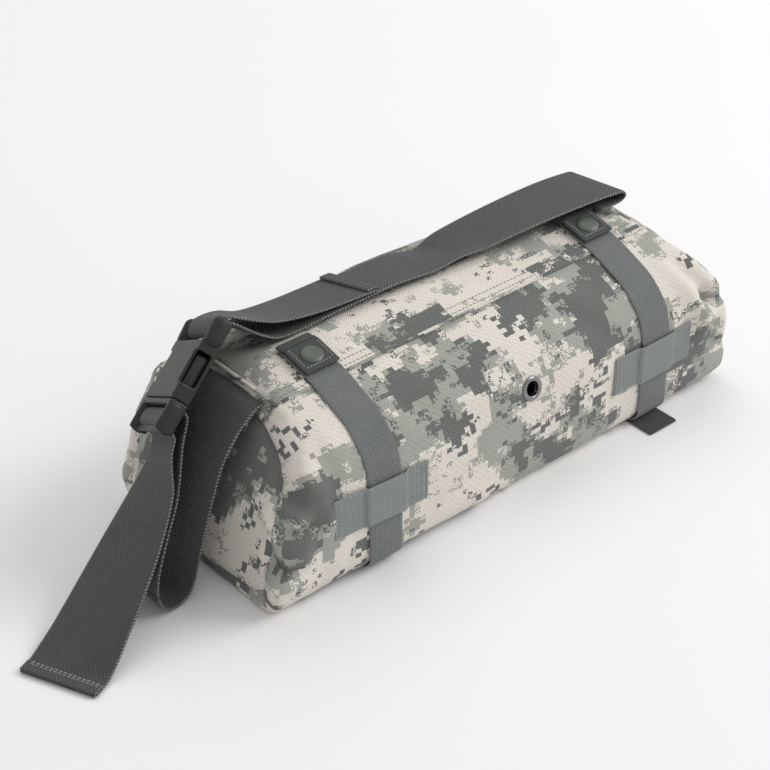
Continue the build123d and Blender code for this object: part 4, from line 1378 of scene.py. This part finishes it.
class PACK_OT_zip(bpy.types.Operator):
    """Build the lid's zip: tapes, teeth, stops, sliders and pulls"""

    bl_idname = "pack.zip"
    bl_label = "Zip"

    def execute(self, context):
        half, tape_middle, count = 134.0, 3.75, 150
        for where, way in (("body", -1), ("lid", 1)):
            body = "root" if where == "body" else "lid"
            middle = LID_LOW + way * tape_middle
            route = [
                (mm(-half + 2 * half * part / 90, LID_Y + 0.45, middle), Vector((0, 0, 1)))
                for part in range(91)
            ]
            node = f"zip_tape_{where}"
            width, thick = 6.9 * MM, 0.7 * MM
            webbing(f"{node}_cloth", route, width, thick, "zip_tape", "zip_tape", [node], body, across=6)
            bm = bmesh.new()
            for index in range(count):
                x = -half + 2 * half * (index + (0.5 if way > 0 else 0.0)) / count
                size = Matrix.Diagonal((0.62 * MM, 0.75 * MM, 0.95 * MM, 1))
                place = Matrix.Translation(mm(x, LID_Y + 1.55, LID_LOW + way * 1.15))
                bmesh.ops.create_uvsphere(bm, u_segments=8, v_segments=5, radius=1.0, matrix=place @ size)
            teeth = add_object(f"zip_teeth_{where}_coil", bm, ["teeth"])
            settle(teeth, [f"zip_teeth_{where}"], body)
            rows = [[mm(-half, LID_Y + 0.85, middle + way * 1.6), mm(half, LID_Y + 0.85, middle + way * 1.6)]]
            stitches(f"zip_stitches_{where}", rows, "grey_thread", body=body)
        softened("zip_end_stops", "zinc", 0.4 * MM)
        for name in SIDES:
            for part in ("slider", "pull"):
                softened(f"zip_{part}_{name}", "zinc", 0.3 * MM, body=f"{part}_{name}")
        return {"FINISHED"}


class PACK_OT_stage(bpy.types.Operator):
    """Build the camera, the floor and the lights"""

    bl_idname = "pack.stage"
    bl_label = "Camera, floor and lights"

    def execute(self, context):
        scene = context.scene
        stage = scene.pack_stage
        rise = stage.elevation
        level = math.cos(rise)
        back = Vector((math.sin(stage.azimuth) * level, -math.cos(stage.azimuth) * level, math.sin(rise)))
        camera = bpy.data.objects.new("camera", bpy.data.cameras.new("camera"))
        camera.data.lens = stage.lens
        camera.data.sensor_width = 36.0
        camera.location = Vector(stage.target) + back * stage.distance
        camera.rotation_mode = "QUATERNION"
        camera.rotation_quaternion = (-back).to_track_quat("-Z", "Y")
        camera.data.clip_start, camera.data.clip_end = 0.05, 30
        scene.collection.objects.link(camera)
        scene.camera = camera
        bm = bmesh.new()
        bmesh.ops.create_grid(bm, x_segments=2, y_segments=2, size=6.0)
        floor = add_object("floor", bm, ["floor"], smooth=False)
        world = bpy.data.worlds.new("studio")
        world.use_nodes = True
        sky = world.node_tree.nodes["Background"]
        sky.inputs["Color"].default_value = (1.0, 1.0, 1.0, 1)
        sky.inputs["Strength"].default_value = stage.sky
        scene.world = world
        scene.view_settings.view_transform = "Standard"
        for name, place, size, power in (
            ("key", (2.1, -1.3, 2.1), 1.7, stage.key),
            ("top", (0.6, 1.4, 2.8), 2.2, stage.key * 0.34),
        ):
            light = bpy.data.lights.new(name, "AREA")
            light.size = size
            light.energy = power
            lamp = bpy.data.objects.new(name, light)
            lamp.location = place
            lamp.rotation_mode = "QUATERNION"
            lamp.rotation_quaternion = (Vector((0, 0, 0.05)) - lamp.location).to_track_quat("-Z", "Y")
            scene.collection.objects.link(lamp)
        return {"FINISHED"}


STEPS = [
    PACK_OT_stage, PACK_OT_cloth_body, PACK_OT_seams, PACK_OT_straps, PACK_OT_snap_tabs, PACK_OT_belt,
    PACK_OT_loose_webbing, PACK_OT_buckle, PACK_OT_eyelet, PACK_OT_zip,
]
GROUPS = {
    "pack_cloth": PackCloth, "pack_webbing": PackWebbing, "pack_hardware": PackHardware,
    "pack_stage": PackStage,
}


class PACK_PT_build(bpy.types.Panel):
    """Lists the pack's pieces in the order that they are built"""

    bl_idname = "PACK_PT_build"
    bl_label = "Waist pack"
    bl_space_type = "VIEW_3D"
    bl_region_type = "UI"
    bl_category = "Waist pack"

    def draw(self, context):
        for step in STEPS:
            self.layout.operator(step.bl_idname)
        for name, group in GROUPS.items():
            box = self.layout.box()
            for prop in group.__annotations__:
                box.prop(getattr(context.scene, name), prop)


def register():
    """Register every class and hang the settings on the scene."""
    for group in GROUPS.values():
        bpy.utils.register_class(group)
    for name, group in GROUPS.items():
        setattr(bpy.types.Scene, name, PointerProperty(type=group))
    for step in [*STEPS, PACK_PT_build]:
        bpy.utils.register_class(step)


def unregister():
    """Undo register."""
    for step in reversed([*STEPS, PACK_PT_build]):
        bpy.utils.unregister_class(step)
    for name in GROUPS:
        delattr(bpy.types.Scene, name)
    for group in reversed(GROUPS.values()):
        bpy.utils.unregister_class(group)


def main():
    """Build everything in order."""
    register()
    make_materials(bpy.context.scene)
    for step in STEPS:
        group, name = step.bl_idname.split(".")
        getattr(getattr(bpy.ops, group), name)()


if __name__ == "__main__":
    main()
